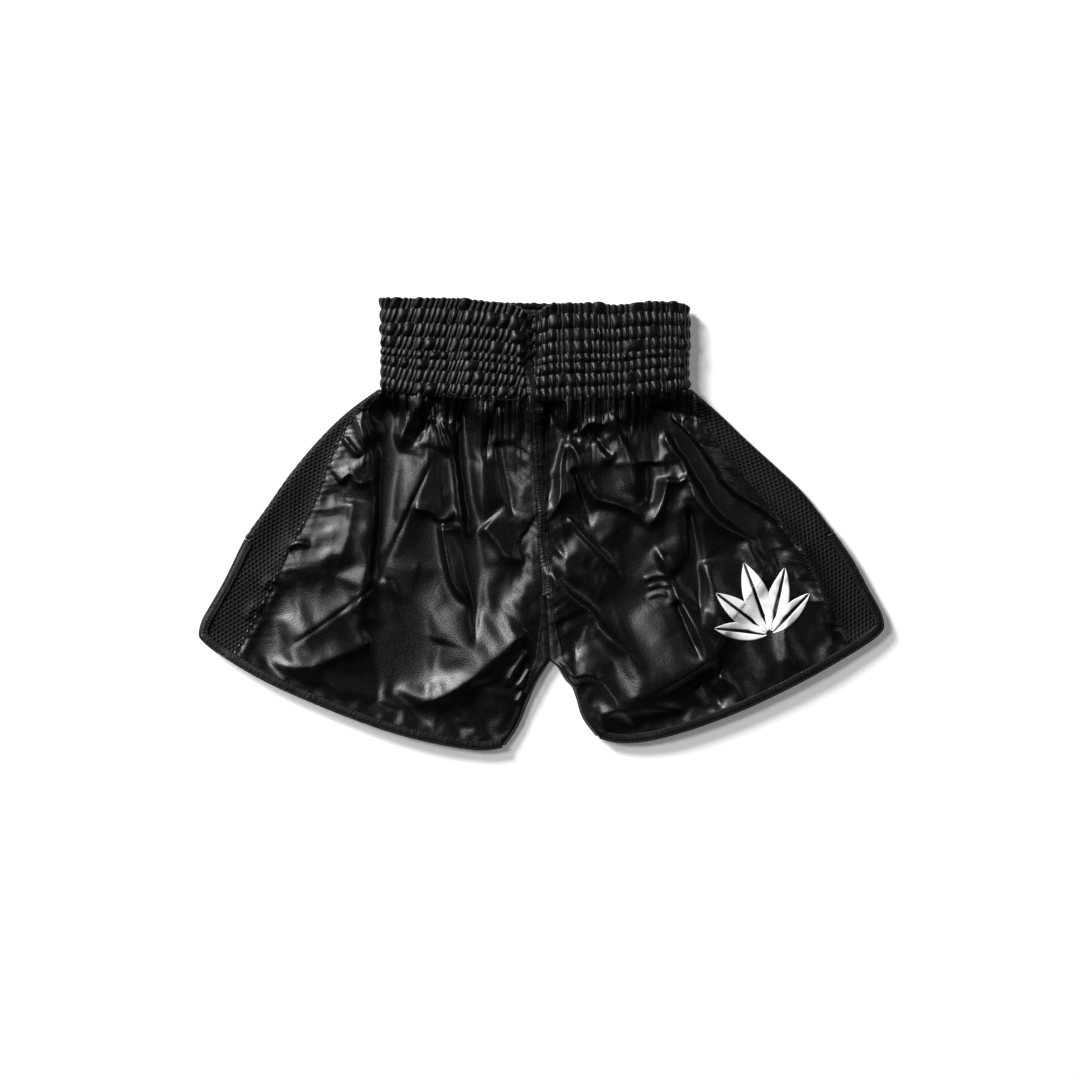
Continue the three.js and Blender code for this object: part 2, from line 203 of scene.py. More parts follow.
def satinFinish(name, look, rough=0.0):
    # rough is added to the look's own roughness
    paint = Paint(name)
    grain = paint.noise(1 / (look["grainSize"] * mm), 3)
    thread = paint.noise(1 / (look["threadSize"] * mm), 1, look["threadStretch"])
    cloud = paint.noise(look["cloudScale"], 3)
    uneven = (grain - 0.5) * look["grainRough"] + (cloud - 0.5) * look["cloudRough"]
    height = grain * look["grainHeight"] + thread * look["threadHeight"]
    return paint.finish(
        Base_Color=paint.mixColour(grain, grey(look["dark"]), grey(look["light"])),
        Roughness=look["rough"] + rough + uneven,
        Specular_IOR_Level=look["specular"],
        Normal=paint.bump(height, look["bump"], look["relief"] * mm),
    )


knitLook = {
    "dark": 0.0015,
    "light": 0.006,
    "rough": 0.6,
    "uneven": 0.2,  # how much the fibres change the roughness
    "specular": 0.22,
    "sheen": 0.0,
    "fibreSize": 0.7,  # mm
    "detail": 2,
    "stretch": (1, 1, 1),
    "bump": 0.5,
    "relief": 0.12,  # mm
}
threadLook = {
    **knitLook,
    "dark": 0.005,
    "light": 0.018,
    "rough": 0.5,
    "specular": 0.5,
    "fibreSize": 0.5,
    "detail": 1,
    "stretch": (1, 0.3, 1),
    "relief": 0.1,
}
embroideryLook = {
    **knitLook,
    "dark": 0.66,
    "light": 0.86,
    "rough": 0.45,
    "specular": 0.5,
    "sheen": 0.2,
    "fibreSize": 0.35,
    "bump": 0.4,
    "relief": 0.1,
}


def fibreFinish(name, look):
    paint = Paint(name)
    fibre = paint.noise(1 / (look["fibreSize"] * mm), look["detail"], look["stretch"])
    return paint.finish(
        Base_Color=paint.mixColour(fibre, grey(look["dark"]), grey(look["light"])),
        Roughness=look["rough"] + (fibre - 0.5) * look["uneven"],
        Specular_IOR_Level=look["specular"],
        Sheen_Weight=look["sheen"],
        Normal=paint.bump(fibre, look["bump"], look["relief"] * mm),
    )


def floorFinish(name):
    paint = Paint(name)
    speckle = paint.noise(400, 2)
    return paint.finish(
        Base_Color=paint.mixColour(speckle, (0.9, 0.9, 0.9, 1), (0.93, 0.93, 0.93, 1)),
        Roughness=0.9,
        Specular_IOR_Level=0.1,
        Emission_Color=(1, 1, 1, 1),
        Emission_Strength=studio["floorGlow"],
    )


satin = satinFinish("blackSatin", satinLook)
satinInside = satinFinish("blackSatinInside", satinLook, 0.12)
satinBand = satinFinish("blackSatinGathered", {**satinLook, "specular": 0.24}, 0.02)
satinTape = satinFinish("blackSatinTape", satinLook, 0.06)
airMesh = fibreFinish("blackAirMesh", knitLook)
elasticKnit = fibreFinish("blackElastic", {**knitLook, "rough": 0.75, "fibreSize": 1.2})
blackThread = fibreFinish("blackThread", threadLook)
whiteStitch = fibreFinish("whiteSatinStitch", embroideryLook)
print("finishes made")

# Helpers for shapes; grids are arrays of rows by columns by x, y, z in millimetres


def mix(a, b, t):
    return a + (b - a) * t


def ease(t):
    t = np.clip(t, 0, 1)
    return t * t * (3 - 2 * t)


def hump(distance, width):
    return np.exp(-((distance / width) ** 2))


driftCells = 97  # the noise repeats after this many cells
driftMiddle = 40


def drift(x, y, size, seed):
    # smooth noise from -1 to 1 that changes over about the given size
    table = np.random.default_rng(seed).uniform(-1, 1, (driftCells, driftCells))
    gridX, gridY = x / size + driftMiddle, y / size + driftMiddle
    column, row = np.floor(gridX).astype(int), np.floor(gridY).astype(int)
    shareX, shareY = ease(gridX - column), ease(gridY - row)
    corner = [
        table[(column + i) % driftCells, (row + j) % driftCells] for j in (0, 1) for i in (0, 1)
    ]
    return mix(mix(corner[0], corner[1], shareX), mix(corner[2], corner[3], shareX), shareY)


def smoothLine(points, count=160, samples=24):
    # evenly spaced points on a centripetal curve through the given ones
    p = np.array(points, float)
    p = np.vstack([2 * p[0] - p[1], p, 2 * p[-1] - p[-2]])
    path = []
    for a, b, c, d in zip(p, p[1:], p[2:], p[3:]):
        knots = [0.0]
        for start, end in ((a, b), (b, c), (c, d)):
            knots.append(knots[-1] + max(np.linalg.norm(end - start), 1e-6) ** 0.5)
        t = np.linspace(knots[1], knots[2], samples, endpoint=False)[:, None]
        t0, t1, t2, t3 = knots
        ab = mix(a, b, (t - t0) / (t1 - t0))
        bc = mix(b, c, (t - t1) / (t2 - t1))
        cd = mix(c, d, (t - t2) / (t3 - t2))
        abc = mix(ab, bc, (t - t0) / (t2 - t0))
        bcd = mix(bc, cd, (t - t1) / (t3 - t1))
        path.append(mix(abc, bcd, (t - t1) / (t2 - t1)))
    path = np.vstack(path + [p[-2:-1]])
    run = np.concatenate([[0], np.cumsum(np.linalg.norm(np.diff(path, axis=0), axis=1))])
    even = np.linspace(0, run[-1], count)
    return np.stack([np.interp(even, run, path[:, k]) for k in range(path.shape[1])], axis=1)


def addMesh(name, points, faces, material, smooth=True):
    mesh = bpy.data.meshes.new(name)
    mesh.from_pydata((np.asarray(points, float) * mm).tolist(), [], faces)
    mesh.materials.append(material)
    mesh.polygons.foreach_set("use_smooth", [smooth] * len(mesh.polygons))
    mesh.update()
    made = bpy.data.objects.new(name, mesh)
    bpy.context.scene.collection.objects.link(made)
    return made


def gridFaces(rows, columns, loop=False, flip=False, first=0):
    across = columns if loop else columns - 1
    i, j = np.meshgrid(np.arange(rows - 1), np.arange(across), indexing="ij")
    beside = (j + 1) % columns
    near, far = i * columns, (i + 1) * columns
    corners = [near + j, near + beside, far + beside, far + j]
    if flip:
        corners.reverse()
    return (np.stack(corners, axis=-1).reshape(-1, 4) + first).tolist()


def addSheet(name, grid, material, middle, loop=False, thickness=0.0, inwards=False):
    # a sheet whose outer side looks away from the height called middle
    rows, columns = grid.shape[:2]
    along, across = grid[1:, :-1] - grid[:-1, :-1], grid[:-1, 1:] - grid[:-1, :-1]
    normal = np.cross(across, along)
    outer = np.sum(normal[..., 2] * (grid[:-1, :-1, 2] - middle)) > 0
    flip = outer == inwards
    made = addMesh(name, grid.reshape(-1, 3), gridFaces(rows, columns, loop, flip), material)
    if thickness:
        thicken(made, thickness)
    return made


def thicken(made, thickness, offset=-1.0):
    solid = made.modifiers.new("thickness", "SOLIDIFY")
    solid.thickness = thickness * mm
    solid.offset = offset
    return made


def joinMeshes(parts):
    # points and faces of several (points, faces) put in one list
    points, faces, first = [], [], 0
    for partPoints, partFaces in parts:
        points.append(np.asarray(partPoints).reshape(-1, 3))
        faces += [[corner + first for corner in face] for face in partFaces]
        first += len(points[-1])
    return np.vstack(points), faces


# The cut of the legs, in plan, with the waistband's lower and upper edge

waistband = {
    "width": 302,
    "height": 91,
    "bow": 11,
    "middleZ": 13.2,
    "reach": 13.0,  # outer side of the puffs from the middle
    "pleat": 5.6,
    "puff": 4.0,
    "stitchLines": (0.0, 0.128, 0.265, 0.38, 0.47, 0.607, 0.745, 0.9),
    "lean": (0.34, -0.06),  # of the pleats, on the wearer's right and left
    "notchX": -8.5,
    "notchWidth": 6.5,
    "notchDepth": 7.0,
    "seed": 7,
}
cut = {
    "centreTopX": -13,
    "seamLean": 20,
    "waistSeamY": 116,
    "rise": 250,
    "sideHeight": 10,
    "waistLift": 9,
    "hemLift": 3,
    "cloth": 1.5,
    "rows": 28,
    "gussetStartRow": 15,
    "crotchRow": 20,
    "gussetEndRow": 23,
    "ventRow": 18,
    "bindingWidth": 8.5,
    "gussetWidth": 14,
    "edgeRadius": 5,
    "tuckLength": 330,  # mm of panel for one share of v, above the waist seam
    "cornerShare": 0.09,
    "cornerPull": (7, 3),  # mm that rounds the corner at the side and at the inseam
    "leastMesh": 6.5,  # mm
}
legShapes = {
    "right": {
        "side": -1,
        "hemCorner": (-180, -238),
        "hemInner": (-45, -87),
        "sideBulge": [(0.12, 11), (0.25, 17), (0.4, 19), (0.53, 17.5), (0.63, 16.5), (0.8, 7)],
        "hemBulge": [(0.23, 15), (0.43, 20), (0.66, 20.5), (0.82, 15), (0.94, 7)],
        "inseamBulge": [(0.23, -2), (0.42, -1.2), (0.7, 1.2)],
        "mesh": (0.03, 0.11, 0.5),  # width at the top, gain downwards and where it is reached
    },
    "left": {
        "side": 1,
        "hemCorner": (193, -230),
        "hemInner": (47, -78),
        "sideBulge": [
            (0.12, 6), (0.24, 10), (0.36, 15), (0.48, 19), (0.6, 18), (0.75, 14), (0.88, 6),
        ],
        "hemBulge": [(0.15, 9), (0.33, 17), (0.54, 22), (0.74, 21), (0.88, 15), (0.965, 5.5)],
        "inseamBulge": [(0.1, -3.5), (0.27, -3.5), (0.36, -5.5), (0.49, -3.5), (0.68, 0.8)],
        "mesh": (0.08, 0.05, 0.3),
    },
}
backMesh = (0.12, 0.04, 0.4)
ventShare = cut["ventRow"] / cut["rows"]
crotchShare = cut["crotchRow"] / cut["rows"]
crotchY = cut["waistSeamY"] - cut["rise"]


def centreX(y):
    fall = cut["waistSeamY"] + waistband["height"] - y
    return cut["centreTopX"] + cut["seamLean"] * fall / (waistband["height"] + cut["rise"])


waistMid = centreX(cut["waistSeamY"])


def waistSeam(x):
    return cut["waistSeamY"] + waistband["bow"] * ((x - waistMid) / (waistband["width"] / 2)) ** 2


def edgeLine(a, b, bulges, turn):
    a, b = np.array(a, float), np.array(b, float)
    way = (b - a) / np.linalg.norm(b - a)
    out = np.array([-turn * way[1], turn * way[0]])
    return smoothLine([a] + [mix(a, b, share) + out * stand for share, stand in bulges] + [b])


class Leg:
    # one leg's cut: u runs from the side fold to the middle, v from the waist seam to the hem
    def __init__(self, name):
        shape = legShapes[name]
        self.name = name
        self.side = shape["side"]
        self.mesh = shape["mesh"]
        self.waistCorner = self.seamPoint(waistMid + self.side * waistband["width"] / 2)
        self.seamTop = self.seamPoint(waistMid)
        self.hemCorner = self.waistCorner + shape["hemCorner"]
        crotch = np.array([centreX(crotchY), crotchY])
        self.hemInner = crotch + shape["hemInner"]
        self.outerLine = edgeLine(self.waistCorner, self.hemCorner, shape["sideBulge"], self.side)
        self.hemLine = edgeLine(self.hemCorner, self.hemInner, shape["hemBulge"], self.side)
        self.inseamLine = edgeLine(crotch, self.hemInner, shape["inseamBulge"], -self.side)
        self.shift = np.zeros(2)

    def seamPoint(self, x):
        return np.array([x, waistSeam(x)])

    def along(self, line, share):
        place = np.clip(share, 0, 1) * (len(line) - 1)
        whole = np.arange(len(line))
        return np.stack([np.interp(place, whole, line[:, k]) for k in (0, 1)], axis=-1)

    def inner(self, v):
        rise = mix(self.seamTop, self.inseamLine[0], np.clip(v / crotchShare, 0, 1)[..., None])
        inseam = self.along(self.inseamLine, (v - crotchShare) / (1 - crotchShare))
        return np.where((v <= crotchShare)[..., None], rise, inseam)

    def top(self, u):
        x = mix(self.waistCorner[0], self.seamTop[0], u)
        return np.stack([x, waistSeam(x)], axis=-1)

    def plan(self, u, v):
        u, v = np.broadcast_arrays(np.asarray(u, float), np.asarray(v, float))
        above = np.minimum(v, 0)[..., None] * np.array([0, -cut["tuckLength"]])
        v = np.maximum(v, 0)
        side, middle = u[..., None], v[..., None]
        waist = mix(self.waistCorner, self.seamTop, side)
        hem = mix(self.hemCorner, self.hemInner, side)
        across = mix(self.along(self.outerLine, v), self.inner(v), side)
        down = mix(self.top(u), self.along(self.hemLine, u), middle)
        point = across + down - mix(waist, hem, middle)
        goals = (mix(self.hemCorner, self.waistCorner, 0.2), self.seamTop)
        reach = cut["cornerShare"]
        for cornerU, corner in enumerate((self.hemCorner, self.hemInner)):
            near = np.maximum(0, 1 - np.abs(u - cornerU) / reach)
            near = near * np.maximum(0, 1 - (1 - v) / reach)
            way = mix(goals[cornerU], mix(self.hemCorner, self.hemInner, 0.5), 0.45) - corner
            pull = cut["cornerPull"][cornerU] * near**2
            point = point + way / np.linalg.norm(way) * pull[..., None]
        return point + above + self.shift

    def width(self, v):
        across = self.plan(np.zeros_like(v), v) - self.plan(np.ones_like(v), v)
        return np.linalg.norm(across, axis=-1)

    def length(self, u):
        down = self.plan(u, np.zeros_like(u)) - self.plan(u, np.ones_like(u))
        return np.linalg.norm(down, axis=-1)

    def meshSeam(self, v, part):
        top, gain, reach = part
        return np.maximum(top + gain * ease(v / reach), cut["leastMesh"] / self.width(v))


legs = {name: Leg(name) for name in legShapes}
outline = np.vstack([leg.plan(np.linspace(0, 1, 60), 1.0) for leg in legs.values()])
cadMiddleX = (cadBox[0].x + cadBox[1].x) / 2 / mm
planShift = np.array(
    [
        cadMiddleX - (outline[:, 0].min() + outline[:, 0].max()) / 2,
        cadBox[0].y / mm - outline[:, 1].min(),
    ]
)
for leg in legs.values():
    leg.shift = planShift
print("cut laid out, shifted by", planShift.round(1))

# How the cloth stands over the plan

folds = {
    # line from the top down, width of its west and east flank, height, all in millimetres
    "right": [
        ([(-178, 119), (-169, 81), (-163, 42), (-165, -15), (-172, -63), (-184, -111)], 20, 8, 3.5),
        ([(-146, 122), (-147, 81), (-149, 23), (-155, -35),
         (-159, -73), (-154, -121), (-161, -180)], 9, 8, -6),
        ([(-113, 124), (-124, 105), (-135, 83), (-137, 65)], 6, 7, 4),
        ([(-105, 105), (-97, 81), (-91, 62)], 4, 4, 2.5),
        ([(-101, 122), (-113, 95), (-128, 70)], 4, 4, -3),
        ([(-97, 102), (-89, 81), (-83, 57), (-79, 23), (-74, -4), (-67, -30)], 3, 5, 3.5),
        ([(-75, 123), (-74, 90), (-71, 42), (-65, 4), (-63, -44), (-63, -83), (-64, -123)], 6, 4, -7),
        ([(-51, 119), (-54, 81), (-57, 23), (-53, -11)], 11, 12, 3),
        ([(-41, 117), (-48, 95), (-52, 76), (-53, 54)], 3, 3, -2.5),
        ([(-42, 80), (-37, 52), (-31, 23), (-26, 2)], 3, 4, -3),
        ([(-57, -2), (-43, -16), (-32, -32), (-15, -35)], 7, 14, 3),
        ([(-107, 12), (-110, -15), (-118, -49), (-129, -84), (-139, -131), (-147, -174)], 10, 12, -5),
        ([(-95, 1), (-92, -25), (-86, -52), (-76, -70), (-66, -86)], 4, 9, 4),
        ([(-123, 15), (-107, 12), (-94, 4), (-82, 15)], 4, 5, 2),
        ([(-191, 84), (-184, 75), (-175, 63)], 2.5, 2.5, 2.2),
        ([(-196, 40), (-184, 49), (-176, 39), (-163, 46)], 3, 6, 2.5),
        ([(-189, 128), (-182, 109), (-174, 90), (-168, 67)], 4, 4, 2.6),
        ([(-161, 121), (-167, 104), (-158, 80)], 3, 4, 2.2),
        ([(-179, 123), (-192, 109), (-199, 89)], 4, 4, -3),
        ([(-106, 60), (-124, 18), (-145, -25), (-159, -56),
         (-189, -81), (-222, -105), (-264, -134)], 1.3, 1.3, -0.9),
        ([(-144, -49), (-184, -79), (-222, -102), (-256, -111)], 16, 16, 3),
        ([(-163, -111), (-193, -126), (-232, -138), (-268, -131)], 12, 10, 2.5),
        ([(-15, -102), (-48, -132), (-86, -159), (-131, -178)], 17, 12, 4),
        ([(-14, -123), (-26, -140), (-36, -159)], 3, 3, 2),
        ([(-10, -138), (-19, -152), (-28, -161)], 2.5, 2.5, 1.8),
        ([(-17, -161), (-24, -175)], 3, 3, 1.6),
        ([(-245, -23), (-235, -18), (-223, -21)], 3, 3, 2),
        ([(-268, -63), (-263, -54), (-250, -57)], 3, 3, 1.6),
        ([(-284, -92), (-278, -80), (-268, -84)], 3, 3, 1.5),
        ([(-182, 23), (-189, -15), (-199, -49)], 8, 8, 1.6),
        ([(-119, -35), (-125, -63), (-134, -87)], 6, 6, 2.2),
        ([(-97, -111), (-105, -140), (-112, -169)], 12, 12, -1.6),
    ],
    "left": [
        ([(180, -98), (154, -132), (114, -156), (66, -172)], 52, 8, 3.8),
        ([(150, -38), (112, -62), (70, -76), (32, -82)], 18, 36, -3.1),
        ([(-2, 116), (-2, 76), (-3, 36), (3, 4)], 3, 3, 2.5),
        ([(9, 122), (10, 81), (8, 42), (5, 10)], 7, 6, -6),
        ([(25, 122), (25, 106), (25, 89)], 3, 3, 3.5),
        ([(24, 81), (18, 60), (16, 23), (6, 0)], 3, 5, 3.5),
        ([(26, 81), (35, 65), (40, 44), (53, 25), (79, 16), (94, 5), (97, -7)], 5, 6, 4),
        ([(121, 44), (118, 28), (111, 9), (98, -7)], 6, 4, 3.5),
        ([(120, 41), (132, 39), (142, 46)], 3, 3, 2.4),
        ([(62, 96), (48, 98), (37, 89), (27, 86)], 3, 3, 2),
        ([(31, 54), (37, 33), (43, 12), (48, -6)], 3, 4, -3),
        ([(25, 6), (40, -12), (56, -28), (76, -50)], 2, 3, 2),
        ([(67, 108), (73, 88), (84, 65), (90, 37), (94, 11)], 8, 5, 4.5),
        ([(105, 59), (106, 33), (102, 11)], 7, 6, -4),
        ([(119, 92), (124, 75), (137, 56), (143, 40),
         (149, 23), (168, 2), (192, -12), (216, -18)], 5, 7, 4),
        ([(109, 117), (133, 81), (156, 48), (181, 18), (214, -6), (245, -33)], 9, 9, -7),
        ([(118, 108), (143, 86), (158, 71), (170, 52), (180, 36),
         (200, 23), (217, 12), (235, -6), (250, -31), (266, -59)], 3, 8, 4),
        ([(142, 16), (147, -15), (149, -54), (153, -102)], 5, 3, -5),
        ([(109, -22), (120, -40), (127, -61), (142, -91),
          (156, -116), (168, -136), (179, -172)], 6, 6, 4),
        ([(129, -73), (141, -104), (154, -132)], 4, 3, -4),
        ([(154, -151), (168, -167), (176, -180)], 6, 3, -3),
        ([(99, -53), (111, -49), (122, -51)], 1.6, 1.6, 1),
        ([(102, -61), (113, -58), (124, -60)], 1.6, 1.6, 1),
        ([(101, -70), (114, -66), (124, -69)], 1.6, 1.6, 0.9),
        ([(0, -40), (14, -54), (28, -71), (47, -85), (60, -103), (77, -119), (93, -137)], 11, 6, 3.5),
        ([(0, -45), (5, -63), (13, -80)], 3, 3, 1.6),
        ([(13, -133), (29, -147), (45, -144), (60, -154), (74, -171), (96, -199)], 7, 10, 4),
        ([(-5, 11), (8, -15), (26, -37)], 4, 4, -3),
        ([(248, -18), (269, -63), (279, -102), (282, -123)], 5, 6, 3),
        ([(225, -23), (228, -39), (231, -54)], 3, 3, -2),
        ([(52, -184), (95, -175), (143, -180)], 7, 8, 2),
        ([(171, -146), (186, -159), (192, -177)], 6, 6, 2),
        ([(18, -92), (37, -131)], 10, 10, -1.5),
        ([(157, -35), (164, -73), (173, -111)], 8, 10, 2),
        ([(52, 81), (60, 66), (68, 56)], 4, 5, 1.8),
        ([(43, 95), (56, 79), (69, 64)], 3, 3, -2.5),
    ],
}
cloth = {
    "top": 25.6,  # no fold stands higher
    "bottom": 4.6,  # nor sinks lower, but at the seams
    "sagSize": 70,
    "sag": 2.4,
    "lower": (7.0, 3.0),  # how far the cloth lies below its highest folds, at the waist and hem
    "foldGain": 2.3,
    "breadth": 1.15,
    "crest": 1.7,  # lower is sharper
    "facetSize": (44, 90),
    "facet": 2.2,
    "creaseSize": 16,
    "crease": 0.7,
    "gatherHeight": 6.5,
    "gatherReach": 20,
    "longGather": (9, 55 / 2.4),  # the broad gathers' distance from the waist, and their reach
    "waistRise": (10.5, 0.6),  # at the side and in the middle
    # shares of the panel over which the cloth comes up from its edges
    "sideReach": 0.3,
    "inseamReach": 0.28,
    "waistReach": 0.09,
    "clearSide": 0.12,
    "clearHem": 0.07,
    "crotchRows": (3, 4),  # rows above the crotch where the inseam starts, and over how many
    "seamDip": 1.2,
    "seamDipWidth": 3.5,
    "puckerPitch": 6.5,
    "puckerHeight": 0.9,
    "puckerReach": 11,
}


def foldHeight(x, y, strokes):
    total = np.zeros_like(x)
    for line, west, east, height in strokes:
        path = smoothLine(line, 14)
        nearest = np.full(x.shape, 1e9)
        side = np.zeros_like(x)
        share = np.zeros_like(x)
        for k, (a, b) in enumerate(zip(path, path[1:])):
            way = b - a
            length = way @ way
            t = np.clip(((x - a[0]) * way[0] + (y - a[1]) * way[1]) / length, 0, 1)
            offX, offY = x - a[0] - t * way[0], y - a[1] - t * way[1]
            distance = np.hypot(offX, offY)
            closer = distance < nearest
            nearest = np.where(closer, distance, nearest)
            side = np.where(closer, way[0] * offY - way[1] * offX, side)
            share = np.where(closer, (k + t) / (len(path) - 1), share)
        width = np.where(side > 0, east, west) * cloth["breadth"]
        width = width * (0.6 + 0.4 * np.sin(math.pi * share))
        fade = ease(share / 0.12 + 0.25) * ease((1 - share) / 0.3)
        total += height * fade / (1 + (nearest / width) ** cloth["crest"])
    return total


def randomWidths(total, mean, seed, spread=(0.6, 1.5)):
    draw = np.random.default_rng(seed)
    widths = draw.uniform(*spread, int(total / mean)) * mean
    return np.concatenate([[0], np.cumsum(widths * total / widths.sum())])


lobe = {
    "tall": (0.72, 1.1),
    "fullWidth": 6.5,  # mm; narrower ones are lower
    "widthGain": (0.55, 1.1),
    "square": 2.3,  # higher makes flatter tops and steeper sides
    "round": 0.6,
}


def lobes(s, edges, seed):
    # rounded ridges between the given edges, 0 in the gaps and about 1 on top
    s = np.mod(s, edges[-1])
    k = np.clip(np.searchsorted(edges, s, side="right") - 1, 0, len(edges) - 2)
    width = edges[k + 1] - edges[k]
    q = np.abs(2 * (s - edges[k]) / width - 1)
    tall = np.random.default_rng(seed).uniform(*lobe["tall"], len(edges))[k]
    tall = tall * np.clip(width / lobe["fullWidth"], *lobe["widthGain"])
    return tall * (1 - q ** lobe["square"]) ** lobe["round"]


bandRadius = 11.5  # of the loop's two rounded ends
bandFlat = waistband["width"] / 2 - waistband["middleZ"]
bandLoop = 4 * bandFlat + 2 * math.pi * bandRadius
pleatEdges = randomWidths(bandLoop, waistband["pleat"], waistband["seed"])
bandMidX = waistMid + planShift[0]


def offInseam(u, v):
    # 1 over the leg, falling to 0 at the inseam below the crotch
    above, over = cloth["crotchRows"]
    belowCrotch = ease((v * cut["rows"] - cut["crotchRow"] + above) / over)
    return 1 - belowCrotch * ease((u - 1 + cloth["inseamReach"]) / cloth["inseamReach"])


def frontBase(u, v):
    fromSide = ease(u / cloth["sideReach"])
    lift = mix(cut["waistLift"], cut["hemLift"], ease(v)) * fromSide * offInseam(u, v)
    atWaist = hump(v, cloth["waistReach"]) * mix(*cloth["waistRise"], fromSide)
    return cut["sideHeight"] + lift + atWaist + cut["cloth"] - 0.2


def frontTop(leg, u, v):
    # x, y and height of the outer side of the front layer
    u, v = np.broadcast_arrays(np.asarray(u, float), np.asarray(v, float))
    at = leg.plan(u, v)
    x, y = at[..., 0], at[..., 1]
    height = frontBase(u, v)
    clear = ease(u / cloth["clearSide"]) * ease((1 - v) / cloth["clearHem"])
    lowered = clear * ease(v / 0.16 + 0.3) * offInseam(u, v)
    inside = clear * ease((1 - u) / 0.04 + 0.1)
    sag = drift(x, y, cloth["sagSize"], seed=3) * cloth["sag"] * inside
    crease = drift(x + 0.4 * y, y * 0.5, cloth["creaseSize"], seed=4) * cloth["crease"]
    fromWaist = v * leg.length(u)
    loopPlace = x - bandMidX
    shallow = lobes(loopPlace, pleatEdges, 11) - 0.5
    wander = loopPlace * 0.93 + drift(x, y, 24, seed=5) * 2
    broad = lobes(wander, randomWidths(bandLoop, 11, 21), 22) - 0.5
    broadAt, broadReach = cloth["longGather"]
    gather = cloth["gatherHeight"] * shallow * np.exp(-fromWaist / cloth["gatherReach"])
    gather += 0.8 * cloth["gatherHeight"] * broad * hump(fromWaist - broadAt, broadReach)
    broadX, broadY = cloth["facetSize"]
    warp = 12 * drift(x, y, 60, seed=6)
    facet = -np.abs(drift((x + warp) / broadX, y / broadY, 1, seed=9)) * cloth["facet"]
    folded = foldHeight(x, y, folds[leg.name]) * cloth["foldGain"] + facet
    height = height + sag - mix(*cloth["lower"], ease(v)) * lowered
    height = height + (folded + crease) * inside + gather * ease(u / 0.06)
    return x, y, softCap(softFloor(height, cloth["bottom"], 4), cloth["top"], 3)


def softFloor(height, bottom, room):
    # leaves high places alone and holds low ones off the bottom
    over = (height - bottom - room) / room
    return np.where(over < 0, bottom + room * np.exp(np.minimum(over, 0)), height)


def softCap(height, top, room):
    # leaves low heights alone and bends high ones off below the top
    over = (height - (top - room)) / room
    return np.where(over > 0, top - room + room * np.tanh(np.maximum(over, 0)), height)


longRun = 600  # mm, longer than any seam


def seamPuckers(along, across, seed):
    # small tucks that a seam pulls into the cloth beside it
    edges = randomWidths(longRun, cloth["puckerPitch"], seed)
    tuck = lobes(along + longRun / 2 + across * 0.5, edges, seed + 1) - 0.55
    return cloth["puckerHeight"] * tuck * np.exp(-across / cloth["puckerReach"])


# Front and back panels

panel = {
    "columns": 150,
    "rows": 190,
    "from": -0.012,  # share of the length, tucked under the waistband
    "to": 1 - 3.0 / 330,  # inside the hem's binding
    "wrapColumns": 7,
    "overlap": 2.5,
    "thickness": 0.35,
    "wrapDepth": 2.2,
    "backPucker": 0.35,  # share of the front's
    "middlePucker": (1.25, 0.4),  # front and back
}
edgeZ = (cut["sideHeight"] + cut["cloth"]) / 2  # where front and back meet


def panelShares(leg, part):
    # shares u and v of the panel's grid points, from the mesh seam to the middle
    v = np.linspace(panel["from"], panel["to"], panel["rows"])[:, None]
    start = leg.meshSeam(np.maximum(v, 0), part) - panel["overlap"] / leg.width(v)
    end = 1 - cut["edgeRadius"] / leg.width(v)
    u = mix(start, end, np.linspace(0, 1, panel["columns"])[None, :])
    return u, np.broadcast_to(v, u.shape)


def belowGusset(v):
    return ease((v - crotchShare + 0.02) / 0.05)


def panelGrid(leg, part, surface, low):
    # the panel from the mesh seam to the middle, then round the inseam or into the centre seam
    u, v = panelShares(leg, part)
    x, y, z = surface(leg, u, v)
    grid = np.stack([x, y, z], axis=-1)
    fromSeam = (u - leg.meshSeam(np.maximum(v, 0), part)) * leg.width(v)
    down = v * leg.length(u)
    sign = -1 if low else 1
    tuck = hump(fromSeam, cloth["seamDipWidth"]) * cloth["seamDip"]
    pucker = seamPuckers(down, np.abs(fromSeam), 31) * (fromSeam > -1)
    grid[..., 2] += sign * (pucker - tuck) * (panel["backPucker"] if low else 1)
    fromMiddle = (1 - u) * leg.width(v)
    beside = seamPuckers(down, fromMiddle, 37) * ease((crotchShare - v) / 0.1)
    grid[..., 2] += sign * beside * panel["middlePucker"][low]
    last, before = grid[:, -1], leg.plan(np.ones(len(v)), v[:, 0])
    below = belowGusset(v[:, 0])
    depth = mix(np.full(len(below), panel["wrapDepth"]), np.abs(last[:, 2] - edgeZ), below)
    wrapped = []
    for angle in np.linspace(0, math.pi / 2, panel["wrapColumns"] + 1)[1:]:
        plan = mix(last[:, :2], before, math.sin(angle))
        height = last[:, 2] - sign * depth * (1 - math.cos(angle))
        wrapped.append(np.column_stack([plan, height]))
    return np.concatenate([grid, np.stack(wrapped, axis=1)], axis=1)


def backTop(leg, u, v):
    at = leg.plan(u, v)
    x, y = at[..., 0], at[..., 1]
    rumple = drift(x, y, 34, seed=51) + 0.5 * drift(x, y, 13, seed=52)
    rumple = rumple + 0.8 * drift(x * 2.2, y * 0.5, 40, seed=53)
    loopPlace = x - bandMidX
    fromWaist = v * leg.length(u)
    pleats = (lobes(loopPlace, pleatEdges, 12) - 0.2) * np.exp(-fromWaist / 22)
    raised = 0.5 + np.maximum(0, 1.3 * rumple + 0.5) * ease(u / 0.08) + 1.8 * np.maximum(0, pleats)
    return x, y, raised


